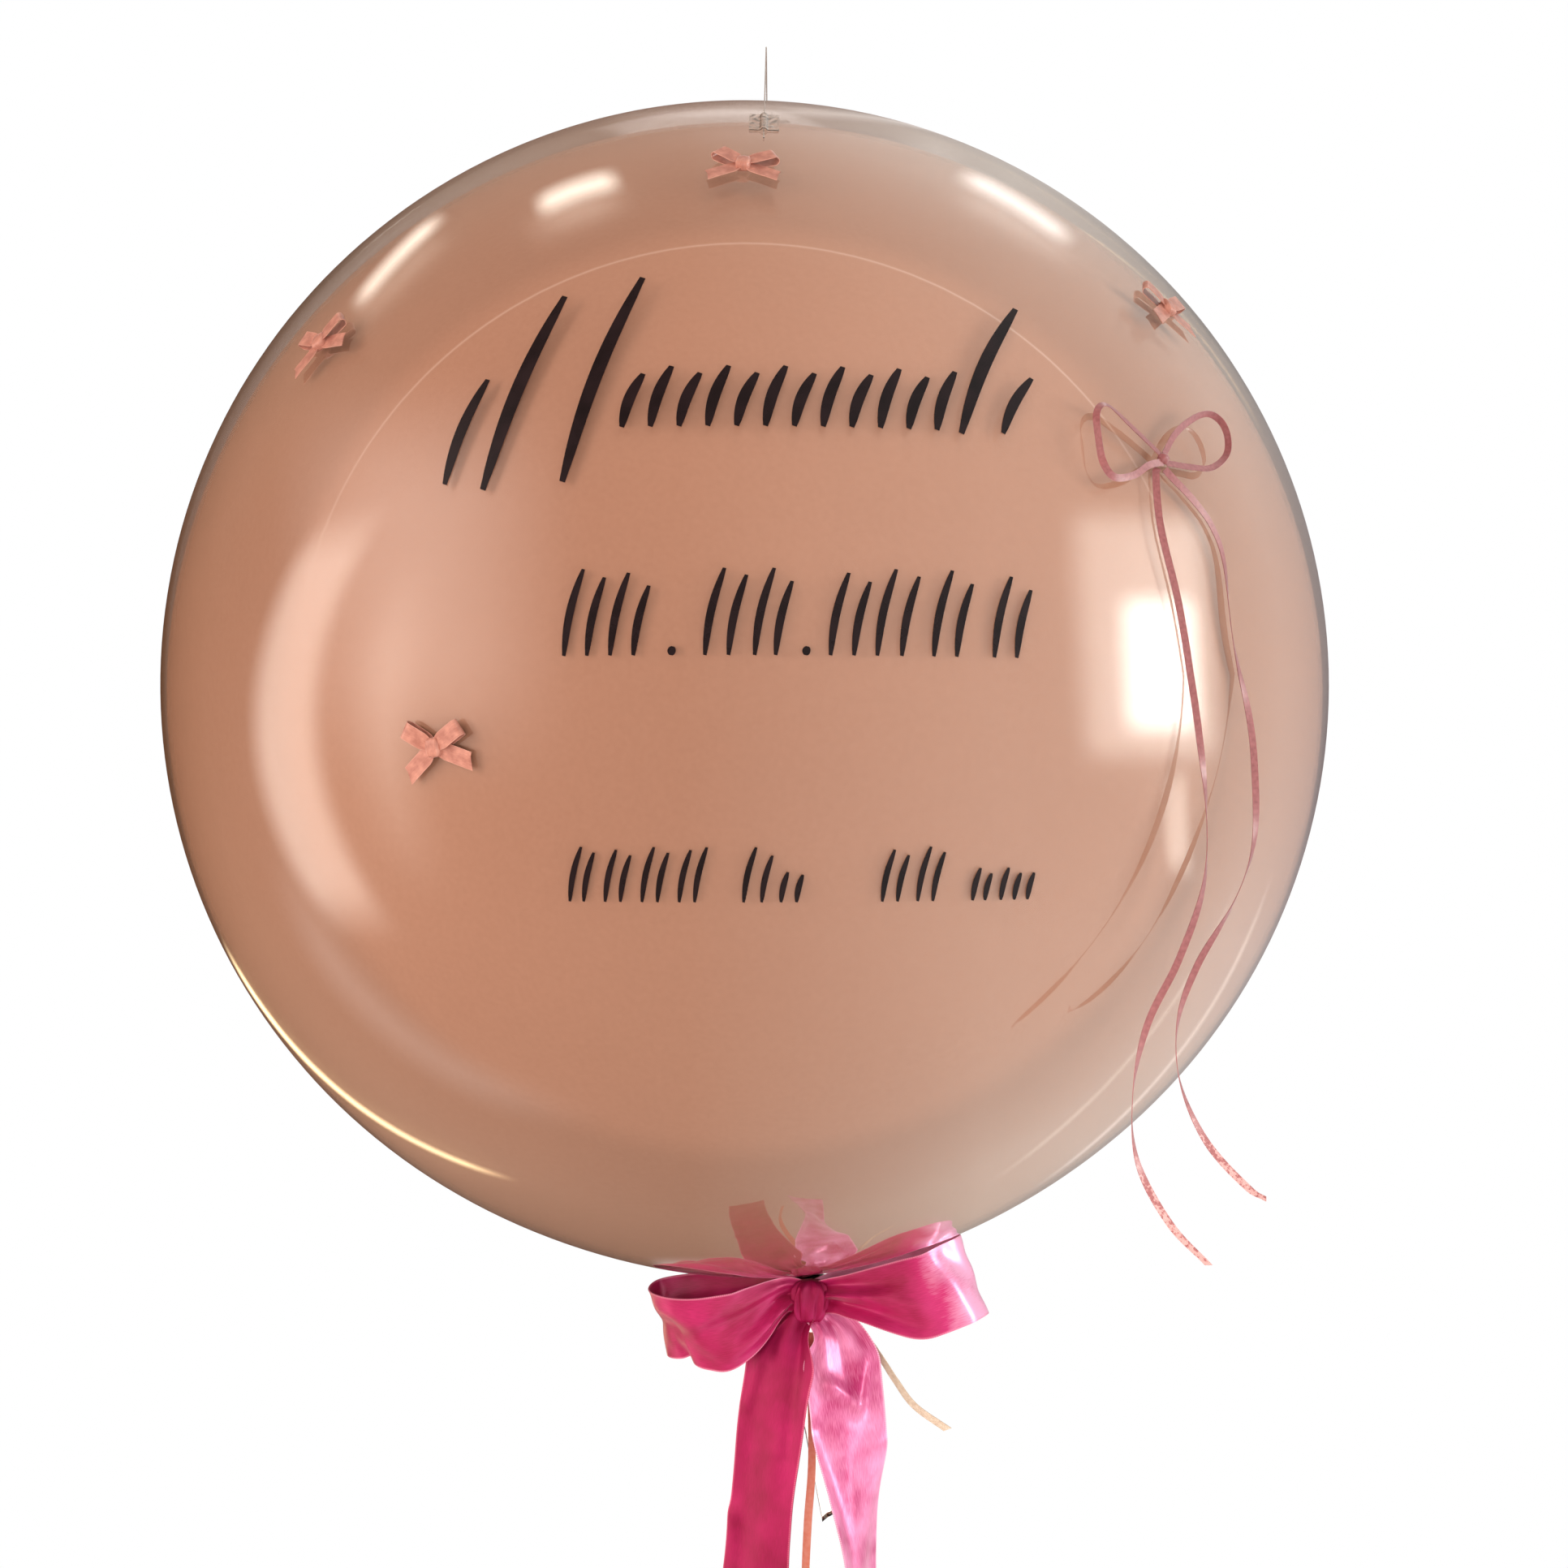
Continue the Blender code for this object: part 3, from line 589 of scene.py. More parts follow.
def roundNeck(profile, sides, shape):
    # Rings about the neck's axis. shape moves each point, from its place, angle and how far it is drawn in.
    sideWay = Vector((math.cos(film["neckTilt"]), 0, math.sin(film["neckTilt"])))
    rings = []
    for depth, radius, drawn in profile:
        ring = []
        for k in range(sides):
            angle = 2 * math.pi * k / sides
            reach = radius - film["pleatDepth"] * drawn**2 * pleated(angle)
            spot = neckPoint(depth) + sideWay * reach * math.cos(angle)
            spot.y += reach * math.sin(angle)
            ring.append(middle + shape(spot, angle, drawn))
        rings.append(ring)
    return rings


def filmShape(spot, angle, drawn):
    # Fine creases run out from the neck and fade away
    spread = film["creaseSpread"]
    crease = noise.noise(Vector((spread * math.cos(angle), spread * math.sin(angle), 4.08)))
    return spot * (1 + film["creaseDepth"] * drawn * (1 - drawn) * crease / film["radius"])


def giveWall(piece):
    wall = piece.modifiers.new("wall", "SOLIDIFY")
    wall.thickness = film["wall"]
    wall.offset = -1


def makeFilm():
    bm = bmesh.new()
    rows = skin(bm, roundNeck(bubbleProfile(110, 16), 160, filmShape))
    closeCrown(bm, middle - neckPoint(film["radius"]), rows[0])
    giveWall(pieceFrom("bubble_film", bm, filmMaterial, ["bubble"]))


balloon = {
    "halfWidth": 0.2768,
    "halfHeight": 0.2742,
    "drop": 0.0050,  # it rests low in the film
    "forward": 0.0022,
    "clear": 0.0007,  # where it presses on the film
    "softness": 0.0012,
    "neckClear": 0.0016,
    "neckShare": 1.6,  # how soon it draws in towards the neck
    "neckNarrowing": 0.3,
}


def balloonShape(spot, angle, drawn):
    # The rose balloon is a little flatter than the film and stops where the film stops it
    far = spot.length
    way = spot / far
    ax, ay, az = way.x / balloon["halfWidth"], way.y / balloon["halfWidth"], way.z / balloon["halfHeight"]
    ox, oy, oz = 0.0, -balloon["forward"] / balloon["halfWidth"], -balloon["drop"] / balloon["halfHeight"]
    a = ax * ax + ay * ay + az * az
    b = ax * ox + ay * oy + az * oz
    c = ox * ox + oy * oy + oz * oz - 1
    free = (b + math.sqrt(b * b - a * c)) / a + max(far - film["radius"], 0.0)
    stop = far - balloon["clear"]
    soft = balloon["softness"]
    reach = stop
    if free < stop + 20 * soft:
        reach -= soft * math.log1p(math.exp(min((stop - free) / soft, 60.0)))
    inNeck = smoothStep(drawn * balloon["neckShare"])
    placed = way * mix(reach, far - balloon["neckClear"], inNeck)
    axis = neckPoint(1.0)
    onAxis = axis * placed.dot(axis)
    return onAxis + (placed - onAxis) * (1 - balloon["neckNarrowing"] * inNeck)


def makeRoseBalloon():
    bm = bmesh.new()
    rows = skin(bm, roundNeck(bubbleProfile(90, 12), 128, balloonShape))
    closeCrown(bm, middle + balloonShape(-neckPoint(film["radius"]), 0.0, 0.0), rows[0])
    bm.faces.new(rows[-1])
    pieceFrom("rose_balloon", bm, latexMaterial)


def makeFilmTail():
    # The film goes through the knot as a round neck and opens below it to a flat, crumpled tail
    top = middle + neckPoint(film["radius"] + film["knotDrop"] - film["knotHeight"] / 2)
    start = middle + neckPoint(film["radius"] + film["knotDrop"] + film["knotHeight"] / 2)
    down = Vector((math.sin(film["tailLean"]), 0, -math.cos(film["tailLean"])))
    sideWay = Vector((math.cos(film["tailLean"]), 0, math.sin(film["tailLean"])))
    sides, steps, neckSteps = 64, 46, 6
    rings = []
    for i in range(-neckSteps, steps + 1):
        distance = film["tailLength"] * max(i, 0) / steps
        flat = smoothStep(distance / film["tailOpening"])
        halfWidth = mix(film["neckRadius"], film["tailWidth"] / 2, flat)
        halfThickness = mix(film["neckRadius"], film["tailThickness"] / 2, flat)
        onAxis = start + down * distance if i >= 0 else start.lerp(top, -i / neckSteps * 0.98)
        across, along = film["tailWaves"]
        ring = []
        for k in range(sides):
            angle = 2 * math.pi * k / sides
            u = math.cos(angle)
            open = 1 - film["pleatDepth"] / film["neckRadius"] * pleated(angle) * (1 - flat)
            waves = math.sin(across * u + along * distance)
            waves += 1.2 * noise.noise(Vector((u * 2.5, distance * 90, 4.0)))
            spot = onAxis + sideWay * halfWidth * u * open
            spot.y += halfThickness * math.sin(angle) * open + film["crumple"] * flat * waves
            end = film["endWave"] * noise.noise(Vector((u * 3, 7.0, 2.0))) + film["tailSlant"] * u
            spot.z += flat * (i / steps) * end
            ring.append(spot)
        rings.append(ring)
    bm = bmesh.new()
    skin(bm, rings)
    giveWall(pieceFrom("film_tail", bm, filmMaterial, ["bubble"]))


makeFilm()
makeRoseBalloon()
makeFilmTail()
print("film and rose balloon made")


# Vinyl strokes


def onFilm(x, z, lift):
    # The place on the film's front that lies at x and z from the bubble's middle
    reach = film["radius"] + lift
    x += vinyl["shift"][0]
    z += vinyl["shift"][1]
    return middle + Vector((x, -math.sqrt(reach**2 - x**2 - z**2), z))


vinyl = {
    "lift": 0.0002,
    "thickness": 0.00015,
    "shift": (-0.0008, 0.0021),  # of every row, sideways and up
    # The top row's long dabs: foot and head, each sideways and up from the bubble's middle, width, bend
    "long": [
        (-0.1150, 0.0700, -0.0990, 0.1130, 0.0046, -0.0020),
        (-0.0990, 0.0670, -0.0690, 0.1480, 0.0056, -0.0024),
        (-0.0670, 0.0690, -0.0375, 0.1550, 0.0056, -0.0026),
        (0.0890, 0.0895, 0.1140, 0.1460, 0.0054, -0.0026),
        (0.1060, 0.0905, 0.1190, 0.1150, 0.0044, -0.0016),
    ],
    # Evenly spaced short dabs: first place, pitch, how many, foot, height, lean at the head, width, bend
    "short": (-0.0440, 0.0112, 12, 0.0905, 0.0250, 0.0080, 0.0046, 0.0014),
    # Rows of slimmer dabs, each at its place and as tall as its share of the row's height
    "middle": {
        "foot": 0.0008, "height": 0.0335, "lean": 0.0075, "width": 0.0032, "bend": 0.0014,
        "dabs": [
            (-0.0655, 1), (-0.0565, 0.9), (-0.0475, 0.95), (-0.0385, 0.8), (-0.0240, 0.1), (-0.0110, 1),
            (-0.0020, 0.92), (0.0080, 1), (0.0160, 0.85), (0.0275, 0.1), (0.0370, 0.95), (0.0460, 0.85),
            (0.0550, 1), (0.0645, 0.92), (0.0770, 1), (0.0860, 0.85), (0.1010, 0.95), (0.1100, 0.8),
        ],
    },
    "bottom": {
        "foot": -0.0943, "height": 0.0215, "lean": 0.0050, "width": 0.0024, "bend": 0.0009,
        "dabs": [
            (-0.0645, 1), (-0.0590, 0.9), (-0.0505, 0.95), (-0.0445, 0.85), (-0.0360, 1), (-0.0300, 0.9),
            (-0.0215, 0.95), (-0.0155, 1), (0.0035, 1), (0.0105, 0.85), (0.0180, 0.55), (0.0240, 0.5),
            (0.0575, 0.95), (0.0635, 0.85), (0.0715, 1), (0.0775, 0.9), (0.0935, 0.6), (0.0985, 0.5),
            (0.1050, 0.6), (0.1105, 0.5), (0.1160, 0.5),
        ],
    },
}


def dab(bm, foot, head, width, bend):
    # One brush mark, thick in its middle and thin at its ends, with a single bend
    steps, parts = 24, 6
    ax, az = foot
    bx, bz = head
    span = math.hypot(bx - ax, bz - az)
    sx, sz = (bz - az) / span, -(bx - ax) / span
    rings = []
    for i in range(steps + 1):
        t = i / steps
        out = bend * math.sin(math.pi * t)
        px, pz = mix(ax, bx, t) + sx * out, mix(az, bz, t) + sz * out
        half = width / 2 * (0.25 + 0.75 * math.sin(math.pi * min(max(t, 0.02), 0.98)) ** 0.5)
        upper, lower = [], []
        for k in range(parts + 1):
            across = mix(-half, half, k / parts)
            upper.append(onFilm(px + sx * across, pz + sz * across, vinyl["lift"] + vinyl["thickness"]))
            lower.append(onFilm(px + sx * across, pz + sz * across, vinyl["lift"]))
        rings.append(upper + lower[::-1])
    skin(bm, rings, capped=True)


def makeVinyl():
    bm = bmesh.new()
    for ax, az, bx, bz, width, bend in vinyl["long"]:
        dab(bm, (ax, az), (bx, bz), width, bend)
    first, pitch, count, foot, height, lean, width, bend = vinyl["short"]
    for i in range(count):
        x = first + pitch * i
        tall = height * (1 if i % 2 else 0.88)
        dab(bm, (x, foot), (x + lean, foot + tall), width, -bend)
    pieceFrom("vinyl_row_1", bm, vinylMaterial, sharp=50)
    for name, row in (("vinyl_row_2", vinyl["middle"]), ("vinyl_row_3", vinyl["bottom"])):
        bm = bmesh.new()
        for x, share in row["dabs"]:
            tall = row["height"] * share
            head = (x + row["lean"] * share, row["foot"] + tall)
            dab(bm, (x, row["foot"]), head, row["width"], -row["bend"] * share)
        pieceFrom(name, bm, vinylMaterial, sharp=50)


makeVinyl()
print("vinyl strokes made")


# Satin bow

bow = {
    "width": 0.040,
    "thickness": 0.0005,
    "tailLength": 0.235,
    "cutSlant": 0.35,
    "leftReach": 0.080,
    "rightReach": 0.0745,
    "leftLean": math.radians(-27),
    "rightLean": math.radians(-19),
    "leftTilt": math.radians(-27),
    "rightTilt": math.radians(3),
    "knotWidth": 0.017,
    "knotHeight": 0.021,
    "knotDepth": 0.013,
    "collarHeight": 0.017,
    "collarThickness": 0.0026,
    "knotSink": 0.001,
    "knotSquareness": 0.7,
    "gatheredWidth": 0.016,
    "loopGatherLength": 0.052,
    "tailGatherLength": 0.030,
    "foldDepth": 0.0016,
    "foldRelease": 0.75,
    "loopWave": 0.0016,
    "tailWave": 0.0018,
    "knotFolds": [(0.0007, 7, 1.6), (0.0004, 13, -2.2)],  # depth, how many, twist
    "collarFold": 0.0005,
    # Upper edge of each loop over the knot's grip: sideways, depth and height as shares of its reach
    "leftLoop": [
        (0.02, -0.012, 0.020), (0.12, -0.028, 0.045), (0.24, -0.100, 0.040), (0.44, -0.188, -0.004),
        (0.67, -0.219, -0.045), (0.88, -0.138, -0.056), (0.99, 0.038, -0.045), (0.93, 0.206, -0.006),
        (0.70, 0.281, 0.022), (0.43, 0.238, 0.035), (0.21, 0.131, 0.045), (0.02, 0.040, 0.020),
    ],
    "rightLoop": [
        (0.02, -0.013, 0.020), (0.12, -0.028, 0.045), (0.24, -0.100, 0.085), (0.45, -0.190, 0.160),
        (0.67, -0.228, 0.230), (0.87, -0.160, 0.295), (0.98, 0.040, 0.315), (0.90, 0.215, 0.270),
        (0.68, 0.300, 0.200), (0.44, 0.255, 0.125), (0.21, 0.155, 0.070), (0.02, 0.043, 0.020),
    ],
    # Middle line of each tail: sideways, depth and down as shares of its length, and its turn in degrees
    "leftTail": [
        (-0.017, -0.004, 0.02, -20), (-0.049, -0.009, 0.08, -28), (-0.068, -0.013, 0.17, -36),
        (-0.087, -0.013, 0.30, -40), (-0.100, -0.013, 0.43, -40), (-0.111, -0.013, 0.56, -40),
        (-0.128, -0.017, 0.78, -30), (-0.132, -0.013, 1.00, -20),
    ],
    "rightTail": [
        (0.017, 0.000, 0.02, 10), (0.053, -0.004, 0.07, 14), (0.068, -0.017, 0.15, 20),
        (0.081, -0.026, 0.26, 28), (0.091, -0.034, 0.38, 52), (0.100, -0.038, 0.50, 66),
        (0.104, -0.038, 0.62, 66), (0.119, -0.034, 0.82, 46), (0.128, -0.034, 1.00, 30),
    ],
    # Creases, each from one place to another: along and across as shares, then depth and half width
    "leftLoopCreases": [
        (0.03, 0.72, 0.30, 0.55, 0.0030, 0.0040), (0.03, 0.34, 0.24, 0.20, -0.0026, 0.0035),
        (0.04, 0.52, 0.20, 0.38, 0.0022, 0.0026), (0.22, 0.95, 0.34, 0.60, -0.0020, 0.0045),
        (0.30, 0.12, 0.42, 0.50, 0.0020, 0.0060), (0.97, 0.5, 0.75, 0.4, 0.0020, 0.0040),
    ],
    "rightLoopCreases": [
        (0.03, 0.66, 0.28, 0.40, 0.0028, 0.0040), (0.02, 0.36, 0.26, 0.16, -0.0026, 0.0036),
        (0.03, 0.52, 0.22, 0.62, 0.0020, 0.0028), (0.32, 0.98, 0.40, 0.10, 0.0034, 0.0060),
        (0.40, 0.90, 0.50, 0.30, -0.0022, 0.0060), (0.97, 0.5, 0.75, 0.4, 0.0020, 0.0040),
    ],
    "leftTailCreases": [
        (0.02, 0.30, 0.22, 0.12, 0.0024, 0.0032), (0.02, 0.70, 0.30, 0.80, -0.0022, 0.0036),
        (0.45, 0.05, 0.80, 0.22, 0.0018, 0.0045), (0.30, 0.70, 0.60, 0.55, 0.0014, 0.0070),
    ],
    "rightTailCreases": [
        (0.02, 0.22, 0.16, 0.30, 0.0044, 0.0034), (0.16, 0.30, 0.21, 0.62, 0.0042, 0.0034),
        (0.21, 0.62, 0.10, 0.86, 0.0036, 0.0034), (0.03, 0.52, 0.15, 0.55, -0.0036, 0.0034),
        (0.03, 0.90, 0.22, 0.80, -0.0020, 0.0034), (0.25, 0.12, 0.50, 0.34, -0.0026, 0.0055),
        (0.30, 0.85, 0.60, 0.60, 0.0028, 0.0070), (0.55, 0.20, 0.95, 0.45, -0.0016, 0.0050),
    ],
}

neckMiddle = middle + neckPoint(film["radius"] + film["knotDrop"])
knotForward = film["neckRadius"] + gap + bow["collarThickness"] + bow["knotDepth"] / 2 - bow["knotSink"]
knotMiddle = neckMiddle - Vector((0, knotForward, 0))


def opened(distance, gatherLength):
    return smoothStep(distance / gatherLength)


def satinWidths(distances, gatherLength):
    return [mix(bow["gatheredWidth"], bow["width"], opened(a, gatherLength)) for a in distances]


def pleatsAt(distances, gatherLength):
    return [bow["foldDepth"] * (1 - bow["foldRelease"] * opened(a, gatherLength)) for a in distances]


def moved(points, start):
    return [start + Vector(point[:3]) for point in points]


def satinLoop(name, route, reach, lean, tilt, creases, seed, look):
    edge = [(reach * x, abs(reach) * y, abs(reach) * z + bow["gatheredWidth"] / 2) for x, y, z in route]
    line = moved(smoothThrough(edge, 96), knotMiddle)
    along = lengthsTo(line)
    nearest = [min(a, along[-1] - a) for a in along]
    ways = []
    for a in nearest:
        share = smoothStep(2 * a / along[-1])
        ways.append(Vector((math.sin(lean * share), math.sin(tilt * share), math.cos(lean * share))))
    widths = satinWidths(nearest, bow["loopGatherLength"])
    pleats = pleatsAt(nearest, bow["loopGatherLength"])
    bm = bmesh.new()
    length = ribbonMesh(bm, line, ways, widths, bow["thickness"], 22, anchor=1.0,
                        pleats=pleats, creases=creases, wave=bow["loopWave"], seed=seed)
    piece = pieceFrom(name, bm, look, ["satin_bow"], sharp=60)


def satinTail(name, route, creases, slant, seed, look):
    long = bow["tailLength"]
    steps = smoothThrough([(long * x, long * y, -long * down, turn) for x, y, down, turn in route], 110)
    line = moved(steps, knotMiddle)
    along = lengthsTo(line)
    ways = [Vector((math.cos(math.radians(step[3])), math.sin(math.radians(step[3])), 0)) for step in steps]
    widths = satinWidths(along, bow["tailGatherLength"])
    pleats = pleatsAt(along, bow["tailGatherLength"])
    bm = bmesh.new()
    length = ribbonMesh(bm, line, ways, widths, bow["thickness"], 22,
                        pleats=pleats, creases=creases, slant=slant, wave=bow["tailWave"], seed=seed)
    piece = pieceFrom(name, bm, look, ["satin_bow"], sharp=60)


def satinKnot():
    # A wrap of gathered ribbon with upright folds, narrower below
    sides, levels = 120, 48
    squareness = bow["knotSquareness"]
    bm = bmesh.new()
    uvLayer = bm.loops.layers.uv.verify()
    rings = []
    for i in range(1, levels):
        height = -math.cos(math.pi * i / levels)
        radius = (1 - abs(height) ** 3) ** (1 / 3)
        taper = 1 + 0.08 * height
        ring = []
        for k in range(sides):
            angle = 2 * math.pi * k / sides
            fold = 0.0
            for depth, count, twist in bow["knotFolds"]:
                fold += depth * math.cos(count * angle + twist * height)
            x = (bow["knotWidth"] / 2 + fold) * radius * powered(math.cos(angle), squareness)
            y = (bow["knotDepth"] / 2 + fold) * radius * powered(math.sin(angle), squareness)
            ring.append(knotMiddle + Vector((x * taper, y, bow["knotHeight"] / 2 * height)))
        rings.append(ring)
    skin(bm, rings, capped=True)
    for face in bm.faces:
        for loop in face.loops:
            spot = loop.vert.co - knotMiddle
            turn = math.atan2(spot.y, spot.x) / math.tau + 0.5
            loop[uvLayer].uv = (0.1 + 0.8 * turn, spot.z / bow["width"])
    pieceFrom("satin_knot", bm, satinInShadeMaterial, ["satin_bow"])


def satinCollar():
    # The ribbon round the neck, wound in two soft turns
    inner = film["neckRadius"] + gap
    half = bow["collarHeight"] / 2
    sides, levels = 96, 18
    place = Matrix.Translation(neckMiddle) @ Matrix.Rotation(-film["neckTilt"], 4, "Y")
    rings = []
    for k in range(sides):
        angle = 2 * math.pi * k / sides
        ring = []
        for i in range(levels + 1):
            share = i / levels
            height = mix(-half, half, share)
            bulge = bow["collarThickness"] * (0.45 + 0.55 * math.sin(math.pi * share) ** 0.5)
            bulge -= bow["collarFold"] * (0.5 + 0.5 * math.cos(8 * math.pi * share + 2 * math.sin(2 * angle)))
            ring.append((inner + bulge, height))
        ring += [(inner, half), (inner, -half)]
        out = Vector((math.cos(angle), math.sin(angle), 0))
        rings.append([place @ (out * reach + Vector((0, 0, height))) for reach, height in ring])
    bm = bmesh.new()
    skin(bm, rings, closed=True)
    uvLayer = bm.loops.layers.uv.verify()
    for face in bm.faces:
        for loop in face.loops:
            spot = loop.vert.co - neckMiddle
            loop[uvLayer].uv = (0.5 + spot.z / bow["width"], math.atan2(spot.y, spot.x) * 0.3)
    pieceFrom("satin_collar", bm, fuchsiaMaterial, ["satin_bow"], sharp=60)


satinLoop("satin_left_loop", bow["leftLoop"], -bow["leftReach"], bow["leftLean"], bow["leftTilt"],
          bow["leftLoopCreases"], 3.1, fuchsiaMaterial)
satinLoop("satin_right_loop", bow["rightLoop"], bow["rightReach"], bow["rightLean"], bow["rightTilt"],
          bow["rightLoopCreases"], 8.4, litMaterial)
satinTail("satin_left_tail", bow["leftTail"], bow["leftTailCreases"], bow["cutSlant"], 5.7, satinInShadeMaterial)
satinTail("satin_right_tail", bow["rightTail"], bow["rightTailCreases"], -bow["cutSlant"], 12.2, satinInLightMaterial)
satinKnot()
satinCollar()
print("satin bow made")


# Narrow ribbons

narrow = {
    "width": 0.003,
    "curlWidth": 0.004,
    "thickness": 0.0003,
    "azimuth": math.radians(40.4),
    "elevation": math.radians(18.0),
    "knotRadius": 0.0026,
    "leftReach": 0.038,
    "rightReach": 0.046,
    "leastTurn": math.radians(12),
    "mostTurn": math.radians(75),
    # Each loop on the film's tangent plane: sideways and up, as shares of its reach
    "leftLoop": [
        (0.02, 0.04), (0.38, 0.33), (0.70, 0.56), (0.90, 0.46), (0.98, 0.15), (1.00, -0.13), (0.88, -0.29),
        (0.56, -0.24), (0.27, -0.10), (0.02, -0.04),
    ],
    "rightLoop": [
        (0.02, 0.04), (0.26, 0.27), (0.55, 0.44), (0.80, 0.52), (0.96, 0.46), (1.00, 0.31), (0.91, 0.12),
        (0.65, -0.03), (0.36, -0.05), (0.02, -0.04),
    ],
    # The bow's ends, sideways and up from its knot. Below the bubble's middle they hang free.
    "leftRoute": [
        (-0.0008, -0.0034), (-0.002, -0.006), (-0.001, -0.028), (0.006, -0.058), (0.011, -0.085),
        (0.015, -0.112), (0.018, -0.142), (0.017, -0.174), (0.007, -0.204), (-0.006, -0.231),
        (-0.012, -0.260), (-0.010, -0.287), (0.003, -0.312), (0.019, -0.329),
    ],
    "rightRoute": [
        (0.0024, -0.0034), (0.0055, -0.0065), (0.016, -0.016), (0.024, -0.026), (0.029, -0.040),
        (0.032, -0.070), (0.039, -0.100), (0.042, -0.124), (0.042, -0.156), (0.034, -0.181),
        (0.018, -0.209), (0.010, -0.233), (0.011, -0.257), (0.022, -0.282), (0.039, -0.301),
        (0.047, -0.306),
    ],
    # The two curling ribbons from the satin knot's middle: sideways, depth and up
    "salmonRoute": [
        (0.0005, 0.0035, -0.016), (0.0007, 0.0050, -0.050), (0.0010, 0.0060, -0.082),
        (-0.0010, 0.0056, -0.110), (-0.0022, 0.0050, -0.142), (-0.0010, 0.0040, -0.176),
        (0.0030, 0.0030, -0.208), (0.0060, 0.0040, -0.228),
    ],
    "creamRoute": [
        (0.009, 0.0055, -0.014), (0.019, 0.0055, -0.015), (0.028, 0.0065, -0.020), (0.0345, 0.0080, -0.029),
        (0.042, 0.010, -0.041), (0.0515, 0.012, -0.054), (0.0676, 0.012, -0.0655),
    ],
    # Degrees that each ribbon turns through along its length, which shows it wide or edge-on
    "leftTurns": [35, 30, 30, 25, -42, 25, 40, -45, 0, 35],
    "rightTurns": [30, 5, -35, 25, 30, -30, 40, -42, -10, 25],
    "salmonTurns": [15, 35, 10, 30, 55, 25],
    "creamTurns": [55, 45, 35, 25],
}


def filmFrame(azimuth, elevation, roll=0.0):
    # A frame on the film: X to the right, Y up and Z out of the film, as seen from outside
    level = math.cos(elevation)
    out = Vector((math.sin(azimuth) * level, -math.cos(azimuth) * level, math.sin(elevation)))
    right = Vector((math.cos(azimuth), math.sin(azimuth), 0))
    turn = Matrix((right, out.cross(right), out)).transposed().to_4x4()
    return Matrix.Translation(middle + out * film["radius"]) @ turn @ Matrix.Rotation(roll, 4, "Z")


def narrowLoop(bm, place, route, reach):
    # The ribbon lies with its face out beside the knot and turns on edge round the loop's end
    height = narrow["knotRadius"] + gap
    count = 72
    flat = smoothThrough([(reach * x, abs(reach) * y, height) for x, y in route], count)
    ways = []
    for i, heading in enumerate(tangents(flat)):
        flatWay = Vector((0, 0, 1)).cross(heading)
        edge = mix(narrow["leastTurn"], narrow["mostTurn"], math.sin(math.pi * i / (count - 1)) ** 6)
        ways.append(place.to_3x3() @ (flatWay * math.cos(edge) + Vector((0, 0, math.sin(edge)))))
    line = [place @ Vector(point) for point in flat]
    ribbonMesh(bm, line, ways, [narrow["width"]] * count, narrow["thickness"], 4)


def makeNarrowBow():
    place = filmFrame(narrow["azimuth"], narrow["elevation"])
    bm = bmesh.new()
    narrowLoop(bm, place, narrow["leftLoop"], -narrow["leftReach"])
    narrowLoop(bm, place, narrow["rightLoop"], narrow["rightReach"])
    uvLayer = bm.loops.layers.uv.verify()
    ball = bmesh.ops.create_uvsphere(bm, u_segments=32, v_segments=20, radius=narrow["knotRadius"])
    seat = place @ Matrix.Translation((0, 0, narrow["knotRadius"] + gap))
    for vert in ball["verts"]:
        spot = vert.co
        fold = 1 + 0.10 * math.cos(5 * math.atan2(spot.y, spot.x) + 700 * spot.z)
        vert.co = seat @ Vector((spot.x * fold, spot.y * fold * 0.9, spot.z * 0.9))
        for loop in vert.link_loops:
            loop[uvLayer].uv = (0.5 + spot.x * 80, spot.y * 300)
    pieceFrom("narrow_bow_loops", bm, narrowMaterial, ["narrow_bow"], sharp=60)
    return place.translation


def draped(route, start, count):
    # The route over the film from its start down to the bubble's middle, and straight down from there
    reach = film["radius"] + gap + narrow["width"] / 2
    points = []
    hanging = None
    for dx, dz in smoothThrough(route, count):
        x = start.x + dx - middle.x
        z = start.z + dz - middle.z
        if z < 0 and hanging is None:
            hanging = -math.sqrt(reach**2 - x**2)
        y = -math.sqrt(reach**2 - x**2 - z**2) if hanging is None else hanging
        points.append(middle + Vector((x, y, z)))
    return points


def offFilm(point):
    return (point - middle).normalized()


def forward(point):
    return Vector((0, -1, 0))


def flatRibbon(name, line, width, look, node, turns, facing, slant=0.5):
    # A narrow flat ribbon that faces one way at each point, turned through its own angles
    ways = []
    count = len(line)
    angles = smoothThrough([(i / (len(turns) - 1), 0, 0, turn) for i, turn in enumerate(turns)], count)
    for i, heading in enumerate(tangents(line)):
        flatWay = facing(line[i]).cross(heading).normalized()
        ways.append(Matrix.Rotation(math.radians(angles[i][3]), 3, heading) @ flatWay)
    bm = bmesh.new()
    length = ribbonMesh(bm, line, ways, [width] * count, narrow["thickness"], 4, slant=slant)
    piece = pieceFrom(name, bm, look, [node], sharp=60)


